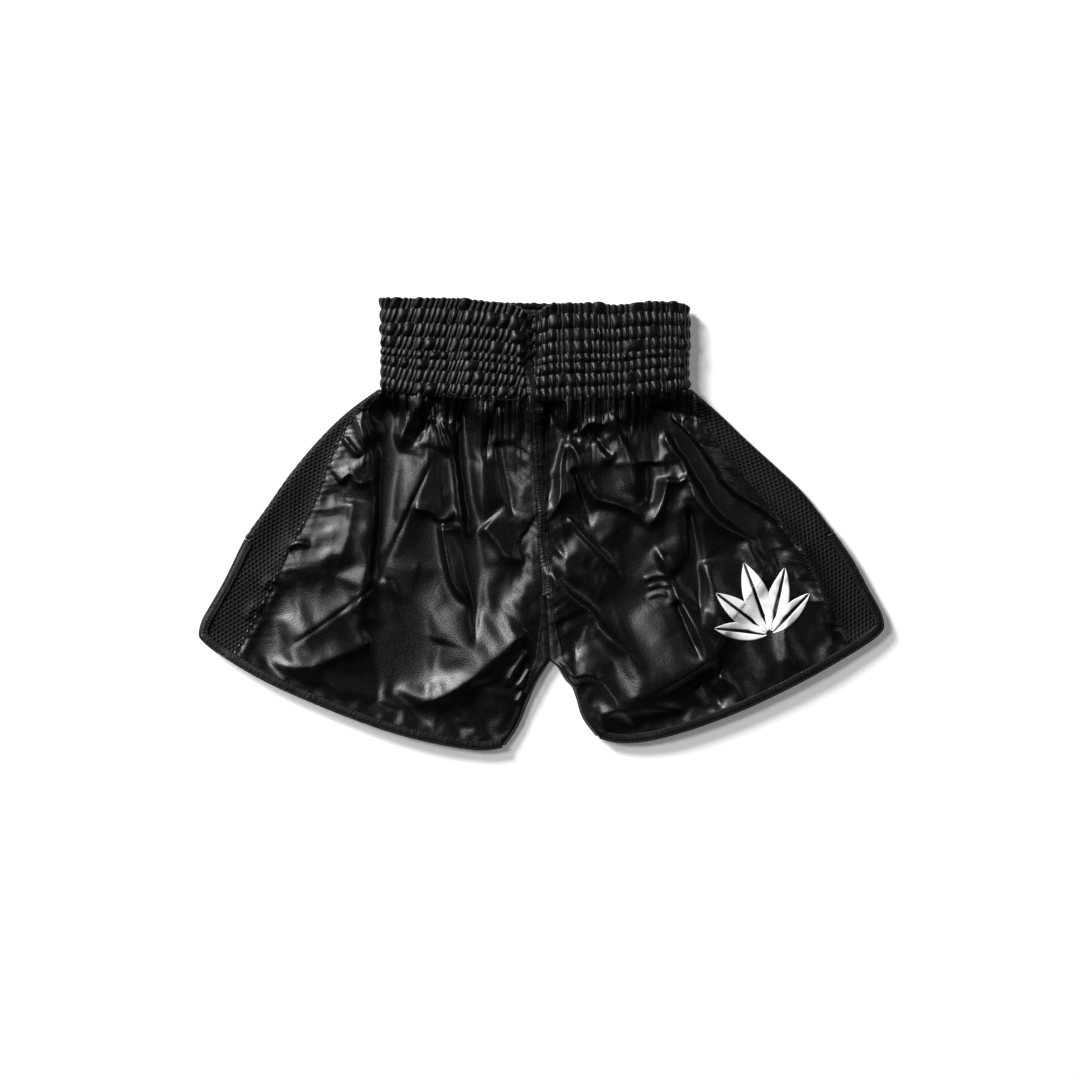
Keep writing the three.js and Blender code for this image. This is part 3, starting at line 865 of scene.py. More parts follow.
settling = {
    "rows": 96,
    "columns": 76,
    "frames": 16,
    "extra": 0.03,  # share of cloth gathered in
    "gravity": 0.0,
    "quality": 6,
    "mass": 0.12,
    "stiffness": 18,
    "damping": 8,
    "bending": 0.5,
    "bendDamping": 0.6,
    "airDamping": 2,
    "mostMove": 4.5,  # mm
    "heldRim": 2,  # rows and columns at the seams that stay put
    "smoothing": 3,
}


def spread(coarse, rows, columns):
    # brings the moves of the coarse cloth to the full grid, without kinks
    i = np.linspace(0, coarse.shape[0] - 1, rows)
    j = np.linspace(0, coarse.shape[1] - 1, columns)
    fine = []
    for axis in range(3):
        down = [np.interp(i, np.arange(coarse.shape[0]), line) for line in coarse[..., axis].T]
        across = [np.interp(j, np.arange(coarse.shape[1]), line) for line in np.array(down).T]
        fine.append(np.array(across))
    fine = np.stack(fine, axis=-1)
    for _ in range(settling["smoothing"]):
        fine[1:-1] = (fine[:-2] + 2 * fine[1:-1] + fine[2:]) / 4
        fine[:, 1:-1] = (fine[:, :-2] + 2 * fine[:, 1:-1] + fine[:, 2:]) / 4
    return fine


def settle(leg, grid):
    # lets the panel buckle as cloth a little too large for its seams, and returns the result
    flat = grid[:, : panel["columns"]]
    i = np.linspace(0, flat.shape[0] - 1, settling["rows"]).round().astype(int)
    j = np.linspace(0, flat.shape[1] - 1, settling["columns"]).round().astype(int)
    start = flat[np.ix_(i, j)]
    faces = gridFaces(*start.shape[:2])
    loose = addMesh("settling" + leg.name.title(), start.reshape(-1, 3), faces, satin)
    row, column = np.meshgrid(np.arange(len(i)), np.arange(len(j)), indexing="ij")
    fromEnd = np.minimum(row, len(i) - 1 - row)
    fromSide = np.minimum(column, len(j) - 1 - column)
    rim = np.minimum(fromEnd, fromSide)
    hold = 1 - ease(rim / settling["heldRim"])
    held = loose.vertex_groups.new(name="held")
    for index, weight in enumerate(hold.ravel()):
        if weight > 0:
            held.add([index], float(weight), "REPLACE")
    simulation = loose.modifiers.new("cloth", "CLOTH")
    weave = simulation.settings
    weave.quality = settling["quality"]
    weave.mass = settling["mass"]
    weave.tension_stiffness = weave.compression_stiffness = settling["stiffness"]
    weave.shear_stiffness = settling["stiffness"] / 3
    weave.bending_stiffness = settling["bending"]
    weave.tension_damping = weave.compression_damping = settling["damping"]
    weave.bending_damping = settling["bendDamping"]
    weave.air_damping = settling["airDamping"]
    weave.vertex_group_mass = "held"
    weave.shrink_min = -settling["extra"]
    weave.effector_weights.gravity = settling["gravity"]
    simulation.collision_settings.use_collision = False
    simulation.collision_settings.use_self_collision = False
    simulation.point_cache.frame_end = settling["frames"]
    for number in range(1, settling["frames"] + 1):
        bpy.context.scene.frame_set(number)
    fallen = loose.evaluated_get(bpy.context.evaluated_depsgraph_get()).data
    end = np.empty(len(fallen.vertices) * 3)
    fallen.vertices.foreach_get("co", end)
    move = end.reshape(start.shape) / mm - start
    bpy.context.scene.frame_set(1)
    bpy.data.objects.remove(loose)
    far = np.linalg.norm(move, axis=-1, keepdims=True)
    most = settling["mostMove"]
    print("cloth", leg.name, "moved up to", round(far.max(), 1), "mm")
    move = move * most * np.tanh(far / most) / np.maximum(far, 1e-9)
    settled = grid.copy()
    visible = settled[:, : panel["columns"]]  # all but the part that wraps round the edge
    visible += spread(move, panel["rows"], panel["columns"])
    visible[..., 2] = softCap(softFloor(visible[..., 2], cloth["bottom"], 3), cloth["top"], 2)
    return settled


def addPanels(leg):
    frontGrid = panelGrid(leg, leg.mesh, frontTop, False)
    frontGrid = settle(leg, frontGrid)
    backGrid = panelGrid(leg, backMesh, backTop, True)
    thickness, end = panel["thickness"], leg.name.title()
    front = addSheet("frontPanel" + end, frontGrid, satin, middle=5, thickness=thickness)
    back = addSheet("backPanel" + end, backGrid, satin, middle=5, thickness=thickness)
    return front, back


panels = {leg.name: addPanels(leg) for leg in legs.values()}
print("panels laid")

# The gathered waistband


# x and y along the front's upper edge
topLine = np.array(
    [
        (-160, 215.5), (-78, 215.5), (-50, 212), (-30, 210), (-20, 206.5), (-10, 198.5),
        (2, 206), (12, 210.5), (56, 211), (71, 208.5), (104, 212.5), (128, 212), (139, 210), (145, 206),
    ]
)
band = {
    "columns": 980,
    "rowStep": 0.8,
    "gap": 0.5,  # above the waist seam
    "frill": 1.6,
    "liningOut": 6.4,
    "liningPuff": 1.1,
    "liningRows": 60,
    "liningColumns": 620,
    "thickness": 0.3,
    "backTop": (212, 4),  # y of the back's upper edge, and its fall from the middle to a side
    "pleatMove": 0.9,  # mm that a row's pleats stand off the common ones
    "joined": 0.16,  # share of pleats that join the next one
    "wobble": 0.012,  # of the stitch lines, share of the height
    "arch": 0.8,
    "pinched": 0.3,  # height on the stitch lines
    "tall": (0.78, 0.22),
}


def bandPlace(place, reach):
    # x, height and outward direction of a spot on the loop, which starts at the front middle
    place = np.mod(place, bandLoop)
    arc = math.pi * bandRadius
    x = np.interp(
        place,
        [0, bandFlat, bandFlat + arc, 3 * bandFlat + arc, 3 * bandFlat + 2 * arc, bandLoop],
        [0, bandFlat, bandFlat, -bandFlat, -bandFlat, 0],
    )
    backFrom, backTo = bandFlat + arc, 3 * bandFlat + arc
    firstEnd = (place > bandFlat) & (place < backFrom)
    lastEnd = (place > backTo) & (place < backTo + arc)
    angle = np.where(firstEnd, (place - bandFlat) / bandRadius, 0)
    angle = np.where(lastEnd, math.pi + (place - 3 * bandFlat - arc) / bandRadius, angle)
    angle = np.where((place >= backFrom) & (place <= backTo), math.pi, angle)
    wayX, wayZ = np.sin(angle), np.cos(angle)
    return bandMidX + x + wayX * reach, waistband["middleZ"] + wayZ * reach, wayX, wayZ


def rowEdges(row):
    # the pleats of one row: the common ones moved a little, some of them joined in pairs
    draw = np.random.default_rng(100 + row)
    move = band["pleatMove"]
    edges = pleatEdges + draw.uniform(-move, move, len(pleatEdges))
    edges[0], edges[-1] = 0, bandLoop
    keep = draw.uniform(0, 1, len(edges)) > band["joined"]
    keep[[0, -1]] = True
    return edges[keep]


def bandPuff(place, share):
    # how far the cover puffs out, from 0 in the gaps and on the stitch lines
    lines = list(waistband["stitchLines"]) + [1.12]  # the last row ends past the upper edge
    share = share + band["wobble"] * drift(place, share * 60, 30, seed=8)
    x = bandPlace(place, 0)[0]
    lean = np.where(x < bandMidX, *waistband["lean"])
    total = np.zeros_like(place)
    common, varied = band["tall"]
    for row, (low, high) in enumerate(zip(lines, lines[1:])):
        inRow = (share >= low) & (share < high) if row else share < high
        across = np.clip((share - low) / (high - low), 0, 1)
        slant = lean * (across - 0.5) * (high - low) * waistband["height"]
        arch = np.sin(math.pi * across) ** band["arch"]
        wide = lobes(place - slant, rowEdges(row), 200 + row)
        fine = lobes(place - slant, rowEdges(row + 40), 300 + row)
        pinched = band["pinched"] * mix(fine, wide, 0.5)
        tall = common + varied * drift(place, share * 90, 16, seed=60 + row)
        total = np.where(inRow, mix(pinched, wide * tall, arch), total)
    return total


def bandTop(x, front):
    smoothTop = np.interp(x, topLine[:, 0], topLine[:, 1])
    height, fall = band["backTop"]
    level = height - fall * (x - bandMidX) / (waistband["width"] / 2)
    return np.where(front, smoothTop, level)


def notchDip(x, wayZ, share):
    # the whole band sinks in at the front middle
    across = hump(x - waistband["notchX"], waistband["notchWidth"]) * (wayZ > 0.5)
    return waistband["notchDepth"] * across * ease((share - 0.1) / 0.45)


def coverGrid():
    place = np.linspace(0, bandLoop, band["columns"], endpoint=False)[None, :]
    rows = int(waistband["height"] / band["rowStep"])
    share = np.linspace(0, 1, rows)[:, None]
    place, share = np.broadcast_arrays(place, share)
    x, z, wayX, wayZ = bandPlace(place, 0)
    puff = bandPuff(place, share)
    reach = waistband["reach"] - waistband["puff"] * (1 - puff) - notchDip(x, wayZ, share)
    x, z, wayX, wayZ = bandPlace(place, reach)
    bottom = waistSeam(x - planShift[0]) + planShift[1] + band["gap"]
    frill = band["frill"] * (lobes(place, rowEdges(7), 207) - 0.6) * ease((share - 0.85) / 0.15)
    y = mix(bottom, bandTop(x, wayZ > 0), share) + frill
    side = hump(share - 0.55, 0.4) * np.abs(wayX) * 1.2 * drift(place, share * 40, 9, seed=71)
    return np.stack([x + wayX * side, y, z], axis=-1), place, reach


def rolledEdge(grid, place, reach, *, row, inner, lift, steps):
    # carries an edge of the cover over to the inner side
    rolled = []
    y0 = grid[row, :, 1]
    x, _, _, wayZ = bandPlace(place[row], 0)
    inner = inner - notchDip(x, wayZ, 0.0 if row == 0 else 1.0)
    middle, half = (reach[row] + inner) / 2, (reach[row] - inner) / 2
    for angle in np.linspace(0, math.pi, steps + 1)[1:]:
        x, z, _, _ = bandPlace(place[row], middle + half * math.cos(angle))
        rolled.append(np.column_stack([x, y0 + lift * math.sin(angle), z]))
    return np.stack(rolled)


def addWaistband():
    grid, place, reach = coverGrid()
    lowInner, topInner = 8.6, band["liningOut"] + 0.6
    over = rolledEdge(grid, place, reach, row=-1, inner=topInner, lift=1.5, steps=6)
    inside = over[-1:] + np.array([0, -5.0, 0])
    under = rolledEdge(grid, place, reach, row=0, inner=lowInner, lift=-1.6, steps=4)[::-1]
    cover = addSheet(
        "waistbandCover",
        np.concatenate([under, grid, over, inside]),
        satinBand,
        middle=waistband["middleZ"],
        loop=True,
        thickness=band["thickness"],
    )
    share = np.linspace(0, 0.965, band["liningRows"])[:, None]
    around = np.linspace(0, bandLoop, band["liningColumns"], endpoint=False)[None, :]
    around, share = np.broadcast_arrays(around, share)
    x, _, _, wayZ = bandPlace(around, 0)
    reach = band["liningOut"] + band["liningPuff"] * (0.5 - bandPuff(around, share))
    x, z, _, wayZ = bandPlace(around, reach - notchDip(x, wayZ, share))
    bottom = waistSeam(x - planShift[0]) + planShift[1]
    y = mix(bottom, bandTop(x, wayZ > 0) - 2, share)
    lining = addSheet(
        "waistbandLining",
        np.stack([x, y, z], axis=-1),
        satinInside,
        middle=waistband["middleZ"],
        loop=True,
        inwards=True,
        thickness=band["thickness"],
    )
    return cover, lining


waistbandCover, waistbandLining = addWaistband()

elastic = {
    "rows": 8,
    "width": 8.0,
    "thickness": 0.9,
    "reach": 8.3,
    "ribs": 5,
    "ribHeight": 0.14,
    "around": 240,
    "corners": 24,  # points round the cross-section
}


def addElastic(row):
    # one flat ribbed elastic between the cover and the lining
    angle = np.linspace(0, 2 * math.pi, elastic["corners"], endpoint=False)[:, None]
    around = np.linspace(0, bandLoop, elastic["around"], endpoint=False)[None, :]
    across = np.sign(np.cos(angle)) * np.abs(np.cos(angle)) ** 0.5
    rib = elastic["ribHeight"] * np.cos(2 * math.pi * elastic["ribs"] * (across + 1) / 2)
    out = np.sign(np.sin(angle)) * (elastic["thickness"] / 2 - rib) * np.abs(np.sin(angle)) ** 0.35
    share = (row + 0.5) / elastic["rows"] + 0 * around
    x, _, _, wayZ = bandPlace(around, 0)
    reach = elastic["reach"] + out - notchDip(x, wayZ, share)
    x, z, _, wayZ = bandPlace(around + 0 * angle, reach)
    bottom = waistSeam(x - planShift[0]) + planShift[1]
    y = mix(bottom, bandTop(x, wayZ > 0) - 2, share) + across * elastic["width"] / 2
    grid = np.stack([x, y, z], axis=-1)
    grid = np.concatenate([grid, grid[:1]])
    faces = gridFaces(elastic["corners"] + 1, elastic["around"], loop=True)
    return addMesh(f"elastic{row + 1}", grid.reshape(-1, 3), faces, elasticKnit)


elastics = [addElastic(row) for row in range(elastic["rows"])]
print("waistband gathered over", len(elastics), "elastics")

# Mesh sides: an open knit of staggered holes over a plain backing

airMeshSide = {
    "pitch": 4.3,  # between holes across the panel
    "rowPitch": 3.7,
    "hole": 0.56,  # share of the cell
    "barThickness": 0.45,
    "backingDrop": 0.9,
    "backingThickness": 0.25,
    "backingRows": (60, 40),  # round the fold and in a flap
    "backingColumns": (60, 34),
    "flapStart": ventShare - 0.004,
    "flapEnd": 1 - 2.5 / 300,
    "roll": 5.5,  # how far in the side fold starts to turn
    "underHem": 2,  # how far the knit runs under the binding
    "underSatin": 1.5,  # and under the satin
    "below": (0.5, 0.3),  # how far it lies under the front surface and over the back one
    "mostColumns": 30,  # each way from the fold
}


def sidePlace(leg, s, t, drop=0.0):
    # a point of the side panel: s runs round the fold, above 0 in front; t is the share down
    s, t = np.broadcast_arrays(np.asarray(s, float), np.asarray(t, float))
    roll = airMeshSide["roll"]
    quarter = math.pi / 2 * roll
    distance = np.abs(s)
    rolled = distance < quarter
    closed = 1 - ease((t - ventShare + 0.012) / 0.012)  # 0 below the vent, in the flat flaps
    arc = np.where(rolled, roll * (1 - np.cos(distance / roll)), distance - quarter + roll)
    fromSide = mix(np.maximum(distance - quarter + roll, 0), arc, closed)
    drops = np.where(rolled, 1 - np.sin(distance / roll), 0) * closed
    width = leg.width(t)
    front = frontTop(leg, fromSide / width, t)
    back = backTop(leg, fromSide / width, t)
    isFront = s >= 0
    x, y = front[0], front[1]
    middleZ = (front[2] + back[2]) / 2
    underFront, overBack = airMeshSide["below"]
    surface = np.where(isFront, front[2] - underFront - drop, back[2] + overBack + drop)
    z = mix(surface, middleZ, drops)
    inner = leg.plan(fromSide / width + 0.02, t)
    way = inner - np.stack([x, y], axis=-1)
    way = way / np.linalg.norm(way, axis=-1)[..., None]
    push = drop * np.where(rolled, np.cos(distance / roll), 0) * closed
    return np.stack([x + way[..., 0] * push, y + way[..., 1] * push, z], axis=-1)


def seamPlaceS(leg, t, part):
    # s of the seam between mesh and satin
    roll = airMeshSide["roll"]
    return leg.meshSeam(t, part) * leg.width(t) - roll + math.pi / 2 * roll


def openKnit(leg):
    # rings of six corners round each hole, sharing their outer corners
    long = leg.length(np.zeros(1))[0]
    pitch, rowPitch = airMeshSide["pitch"], airMeshSide["rowPitch"]
    points, index, faces = [], {}, []
    vent = ventShare * long
    edgeIn = cut["bindingWidth"] - airMeshSide["underHem"]
    hole = airMeshSide["hole"]

    def corner(s, t):
        key = (round(s * 20), round(t * 20))
        if key not in index:
            index[key] = len(points)
            points.append((s, t))
        return index[key]

    hexagon = [(0, 2), (0.5, 1), (0.5, -1), (0, -2), (-0.5, -1), (-0.5, 1)]
    third = rowPitch / 3
    for row in range(int(long / rowPitch) + 1):
        t = row * rowPitch
        share = np.array([min(t / long, 1)])
        low = -seamPlaceS(leg, share, backMesh)[0]
        high = seamPlaceS(leg, share, leg.mesh)[0]
        for column in range(-airMeshSide["mostColumns"], airMeshSide["mostColumns"] + 1):
            s = (column + 0.5 * (row % 2)) * pitch
            if not low - 1 < s < high + 1 or t > long - edgeIn + 1.5:
                continue
            if t > vent - rowPitch and abs(s) < edgeIn + 3:
                continue
            outer = [corner(s + a * pitch, t + b * third) for a, b in hexagon]
            inner = [corner(s + a * pitch * hole, t + b * third * hole * 1.1) for a, b in hexagon]
            for k in range(6):
                faces.append((outer[k], outer[(k + 1) % 6], inner[(k + 1) % 6], inner[k]))
    points = np.array(points)
    share = np.clip(points[:, 1] / long, 0, 1)
    low = -seamPlaceS(leg, share, backMesh) - airMeshSide["underSatin"]
    high = seamPlaceS(leg, share, leg.mesh) + airMeshSide["underSatin"]
    return np.clip(points[:, 0], low, high), share, faces


def backingGrids(leg):
    # plain cloth under the knit: one sheet round the fold and two flaps below the vent
    edge = cut["bindingWidth"] - airMeshSide["underHem"] + (math.pi / 2 - 1) * airMeshSide["roll"]
    grids = []
    for part in ("fold", "frontFlap", "backFlap"):
        flap = part != "fold"
        start, end = (airMeshSide["flapStart"], airMeshSide["flapEnd"]) if flap else (0.0, ventShare)
        t = np.linspace(start, end, airMeshSide["backingRows"][flap])[:, None]
        low = edge if part == "frontFlap" else -seamPlaceS(leg, t, backMesh) - 1
        high = -edge if part == "backFlap" else seamPlaceS(leg, t, leg.mesh) + 1
        s = mix(low, high, np.linspace(0, 1, airMeshSide["backingColumns"][flap])[None, :])
        grids.append(sidePlace(leg, s, np.broadcast_to(t, s.shape), airMeshSide["backingDrop"]))
    return grids


def addSide(leg):
    s, t, faces = openKnit(leg)
    knit = addMesh("sideMesh" + leg.name.title(), sidePlace(leg, s, t), faces, airMesh)
    thicken(knit, airMeshSide["barThickness"], 0.0)
    grids = backingGrids(leg)
    points, faces = joinMeshes([(grid, gridFaces(*grid.shape[:2])) for grid in grids])
    backing = addMesh("sideBacking" + leg.name.title(), points, faces, airMesh)
    thicken(backing, airMeshSide["backingThickness"], 0.0)
    return knit, backing


sides = {leg.name: addSide(leg) for leg in legs.values()}
print("mesh sides knitted")

# Stitches

stitching = {
    "width": 0.42,
    "rise": 0.3,
    "sides": 5,
    "profile": ((0, 0.15), (0.18, 0.85), (0.5, 1), (0.82, 0.85), (1, 0.15)),  # share along, thickness
}


def stitch(a, b, width=stitching["width"]):
    # one short rounded thread from a to b, its middle standing up
    way = b - a
    beside = np.cross(way, (0, 0, 1.0))
    beside /= np.linalg.norm(beside)
    points = []
    sides, rings = stitching["sides"], len(stitching["profile"])
    for share, thick in stitching["profile"]:
        middle = a + way * share + np.array([0, 0, stitching["rise"] * thick])
        for angle in np.linspace(0, 2 * math.pi, sides, endpoint=False):
            out = beside * math.cos(angle) + np.array([0, 0, math.sin(angle)])
            points.append(middle + out * thick * width)
    faces = gridFaces(rings, sides, loop=True) + [list(reversed(range(sides)))]
    faces.append(list(range((rings - 1) * sides, rings * sides)))
    return points, faces


def stitchesAlong(line, pitch, length, width=stitching["width"]):
    run = np.concatenate([[0], np.cumsum(np.linalg.norm(np.diff(line, axis=0), axis=1))])

    def spot(distance):
        return np.array([np.interp(distance, run, line[:, k]) for k in range(3)])

    starts = np.arange(pitch / 2, run[-1] - length, pitch)
    return [stitch(spot(start), spot(start + length), width) for start in starts]


def addThreads(name, parts):
    points, faces = joinMeshes(parts)
    return addMesh(name, points, faces, blackThread)


def smoothRun(values, count):
    window = np.hanning(count) / np.hanning(count).sum()
    return np.convolve(np.pad(values, count // 2, mode="edge"), window, mode="valid")


# Bindings

binding = {
    "width": 9.2,
    "thickness": 2.5,
    "step": 1.0,
    "puckerPitch": 3.4,
    "pucker": 0.55,
    "slant": 1.1,
    "ripple": 0.5,
    "stitchPitch": 3.1,
    "stitchLength": 2.3,
    "stitchRows": (1.7, 7.4),  # from the outer edge
    "stitchDip": (0.45, 0.7),  # depth and half width of the groove they pull in
    "corners": 22,  # points round the cross-section
    "smoothing": 12,
    "heightReach": 4,  # how far in from the edge it takes its height
    "heightSmoothing": 15,
    "frontLift": 0.1,
    "backZ": 1.35,
}


def bindingPath(leg):
    # u, v of the outer edge from the inseam along the hem to the corner and up the vent
    hemLength = np.linalg.norm(np.diff(leg.hemLine, axis=0), axis=1).sum()
    ventLength = (1 - ventShare) * leg.length(np.zeros(1))[0]
    hemU = np.linspace(1, 0, int(hemLength / binding["step"]))
    ventV = np.linspace(1, ventShare + 0.002, int(ventLength / binding["step"]))[1:]
    u = np.concatenate([hemU, np.zeros(len(ventV))])
    v = np.concatenate([np.ones(len(hemU)), ventV])
    return u, v


def bindingFrame(leg, front):
    # points along the outer edge, the direction across the tape, and the run along it
    u, v = bindingPath(leg)
    edge = leg.plan(u, v)
    smoothed = edge.copy()
    for _ in range(binding["smoothing"]):
        smoothed[1:-1] = (smoothed[:-2] + 2 * smoothed[1:-1] + smoothed[2:]) / 4
    tangent = np.gradient(smoothed, axis=0)
    tangent /= np.linalg.norm(tangent, axis=1)[:, None]
    across = np.stack([-tangent[:, 1], tangent[:, 0]], axis=1) * leg.side
    inside = leg.plan(np.full(1, 0.5), np.full(1, 0.5))[0]
    if np.sum((inside - smoothed) * across) < 0:
        across = -across
    run = np.concatenate([[0], np.cumsum(np.linalg.norm(np.diff(smoothed, axis=0), axis=1))])
    surface = frontTop if front else backTop
    shareIn = binding["heightReach"] / leg.width(v)
    nearU = np.clip(u, shareIn, 1 - shareIn)
    nearV = np.clip(v, 0, 1 - binding["heightReach"] / leg.length(u))
    height = surface(leg, nearU, nearV)[2]
    return smoothed, across, run, smoothRun(height, binding["heightSmoothing"])


def addBinding(leg, front):
    edge, across, run, height = bindingFrame(leg, front)
    half = binding["thickness"] / 2
    # the cross-section, from the inner edge over the top to the outer edge and back below
    angle = np.linspace(0, 2 * math.pi, binding["corners"], endpoint=False)
    acrossShare = 0.5 + 0.5 * np.sign(np.cos(angle)) * np.abs(np.cos(angle)) ** 0.45
    up = np.sign(np.sin(angle)) * np.abs(np.sin(angle)) ** 0.7
    s = run[:, None] + 0 * angle[None, :]
    w = binding["width"] * acrossShare[None, :] + 0 * s
    edges = randomWidths(longRun, binding["puckerPitch"], 81)
    slanted = s + binding["slant"] * (w - 4)
    pucker = lobes(slanted, edges, 82) - 0.6
    depth, grooveHalf = binding["stitchDip"]
    groove = sum(hump(w - row, grooveHalf) for row in binding["stitchRows"]) * depth
    outerLift = 1 + binding["ripple"] * 0.5 * drift(s, w, 14, seed=83)
    swell = up * (half * outerLift + (binding["pucker"] * pucker - groove) * (up > 0.2))
    x = edge[:, 0][:, None] + across[:, 0][:, None] * w
    y = edge[:, 1][:, None] + across[:, 1][:, None] * w
    if front:
        z = np.maximum((height + binding["frontLift"])[:, None] + swell, 0.05)
    else:
        z = np.maximum(binding["backZ"] + swell, 0.06)
    grid = np.stack([x, y, z], axis=-1)
    rows, columns = grid.shape[:2]
    faces = gridFaces(rows, columns, loop=True)
    faces.append(list(range(columns)))
    faces.append([(rows - 1) * columns + k for k in reversed(range(columns))])
    name = ("frontBinding" if front else "backBinding") + leg.name.title()
    tape = addMesh(name, grid.reshape(-1, 3), faces, satinTape)
    topColumns = np.where(up >= 0.3)[0]
    rows = []
    for place in binding["stitchRows"]:
        off = np.abs(binding["width"] * acrossShare[topColumns] - place)
        column = topColumns[np.argmin(off)]
        rows += stitchesAlong(grid[:, column], binding["stitchPitch"], binding["stitchLength"])
    return tape, addThreads(name + "Stitches", rows)


bindings = {}
for leg in legs.values():
    for front in (True, False):
        bindings[leg.name, front] = addBinding(leg, front)
print("hems bound")

# Seams, gussets and tacks


def clothTree(*pieces):
    # the finished cloth, for laying trims on it
    graph = bpy.context.evaluated_depsgraph_get()
    points, faces = [], []
    for piece in pieces:
        mesh = piece.evaluated_get(graph).data
        first = len(points)
        points += [vertex.co / mm for vertex in mesh.vertices]
        faces += [[first + corner for corner in polygon.vertices] for polygon in mesh.polygons]
    return BVHTree.FromPolygons(points, faces)


def clothHeight(tree, x, y, otherwise):
    heights = []
    for placeX, placeY in zip(np.ravel(x), np.ravel(y)):
        hit = tree.ray_cast(Vector((placeX, placeY, 60)), Vector((0, 0, -1)))[0]
        heights.append(hit.z if hit else np.nan)
    heights = np.array(heights).reshape(np.shape(x))
    return np.where(np.isnan(heights), otherwise, heights)


seam = {
    "halfWidth": 3.9,
    "step": 0.6,
    "crown": 0.9,
    "tick": 0.95,  # height of the gathered ridges
    "tickPitch": 3.1,
    "tickSlant": 1.5,
    "bandHalfWidth": 4.6,
    "bandLean": -5.0,
    "bandShare": 0.83,  # how far up the waistband
    "bandTickPitch": 2.3,
    "bandTickSlant": -1.2,
    "columns": 15,
    "stitchColumns": (3, 11),
    "stitch": (2.9, 2.1, 0.36),  # pitch, length, half width
    "beside": 5.2,  # where the cloth's height is taken, from the middle
    "smoothing": 15,
    "bandSmoothing": 9,
}


def seamStrip(name, y, middleX, half, heights, *, lift, seed, tickPitch, tickSlant):
    # a gathered strip with slanting ridges and a row of stitches along each edge
    across = np.linspace(-1, 1, seam["columns"])[None, :]
    along = (y[0] - y)[:, None] + 0 * across
    edges = randomWidths(longRun, tickPitch, seed)
    ridge = lobes(along + tickSlant * across, edges, seed + 1) - 0.45
    leftZ, rightZ = heights
    base = mix(leftZ[:, None], rightZ[:, None], (across + 1) / 2)
    dip = 0.4 * hump(np.abs(across) - 0.6, 0.12)
    crown = seam["crown"] * (1 - across**2) ** 0.6
    z = base + lift + crown + seam["tick"] * ridge * (1 - 0.7 * across**2) - dip
    z = np.where(np.abs(across) > 0.99, base - 0.4, z)
    wobble = 0.5 * drift(along, along * 0, 9, seed + 2)
    x = middleX[:, None] + half * across * (1 + 0.06 * ridge) + wobble
    grid = np.stack([x, y[:, None] + 0 * x, np.minimum(z, cloth["top"])], axis=-1)
    strip = addSheet(name, grid, satinTape, middle=-100)
    rows = []
    for column in seam["stitchColumns"]:
        rows += stitchesAlong(grid[:, column], *seam["stitch"])
    return strip, addThreads(name + "Stitches", rows)


def centreSeam(name, tree, *, lowest, lift, seed):
    toGusset = cut["rise"] * cut["gussetStartRow"] / cut["crotchRow"]
    y = np.arange(cut["waistSeamY"] - 1, cut["waistSeamY"] - toGusset, -seam["step"])
    middleX = centreX(y) + planShift[0]
    y = y + planShift[1]
    sides = [clothHeight(tree, middleX + way * seam["beside"], y, lowest) for way in (-1, 1)]
    return seamStrip(
        name,
        y,
        middleX,
        seam["halfWidth"],
        [smoothRun(side, seam["smoothing"]) for side in sides],
        lift=lift,
        seed=seed,
        tickPitch=seam["tickPitch"],
        tickSlant=seam["tickSlant"],
    )


fronts = clothTree(*[panels[name][0] for name in legs])
backs = clothTree(*[panels[name][1] for name in legs])
frontSeam = centreSeam("centreFrontSeam", fronts, lowest=18, lift=0.1, seed=91)
backSeam = centreSeam("centreBackSeam", backs, lowest=1.2, lift=-0.1, seed=94)


def bandSeam():
    # the same seam where it runs up the front of the waistband
    top = cut["waistSeamY"] + waistband["height"] * seam["bandShare"]
    y = np.arange(top, cut["waistSeamY"] + 1, -seam["step"])
    share = (y - cut["waistSeamY"]) / waistband["height"]
    middleX = centreX(y) + planShift[0] - 2 + seam["bandLean"] * share
    y = y + planShift[1]
    cover = clothTree(waistbandCover)
    half = seam["bandHalfWidth"]
    sides = [clothHeight(cover, middleX + way * half, y, 22) for way in (-1, 0, 1)]
    left, middle, right = [smoothRun(side, seam["bandSmoothing"]) for side in sides]
    return seamStrip(
        "waistbandSeam",
        y,
        middleX,
        half,
        [np.minimum(left, middle + 1.5), np.minimum(right, middle + 0.5)],
        lift=-0.2,
        seed=97,
        tickPitch=seam["bandTickPitch"],
        tickSlant=seam["bandTickSlant"],
    )


waistbandSeam = bandSeam()

gusset = {
    "tip": 2,  # half width at the upper end
    "end": 6,  # and at the lower one
    "rows": 60,
    "columns": 18,
    "wrap": 8,
    "wrapDepth": 2.0,
    "proud": 0.55,
    "thickness": 0.3,
    "stitch": (2.9, 2.1, 0.34),  # pitch, length, half width
}


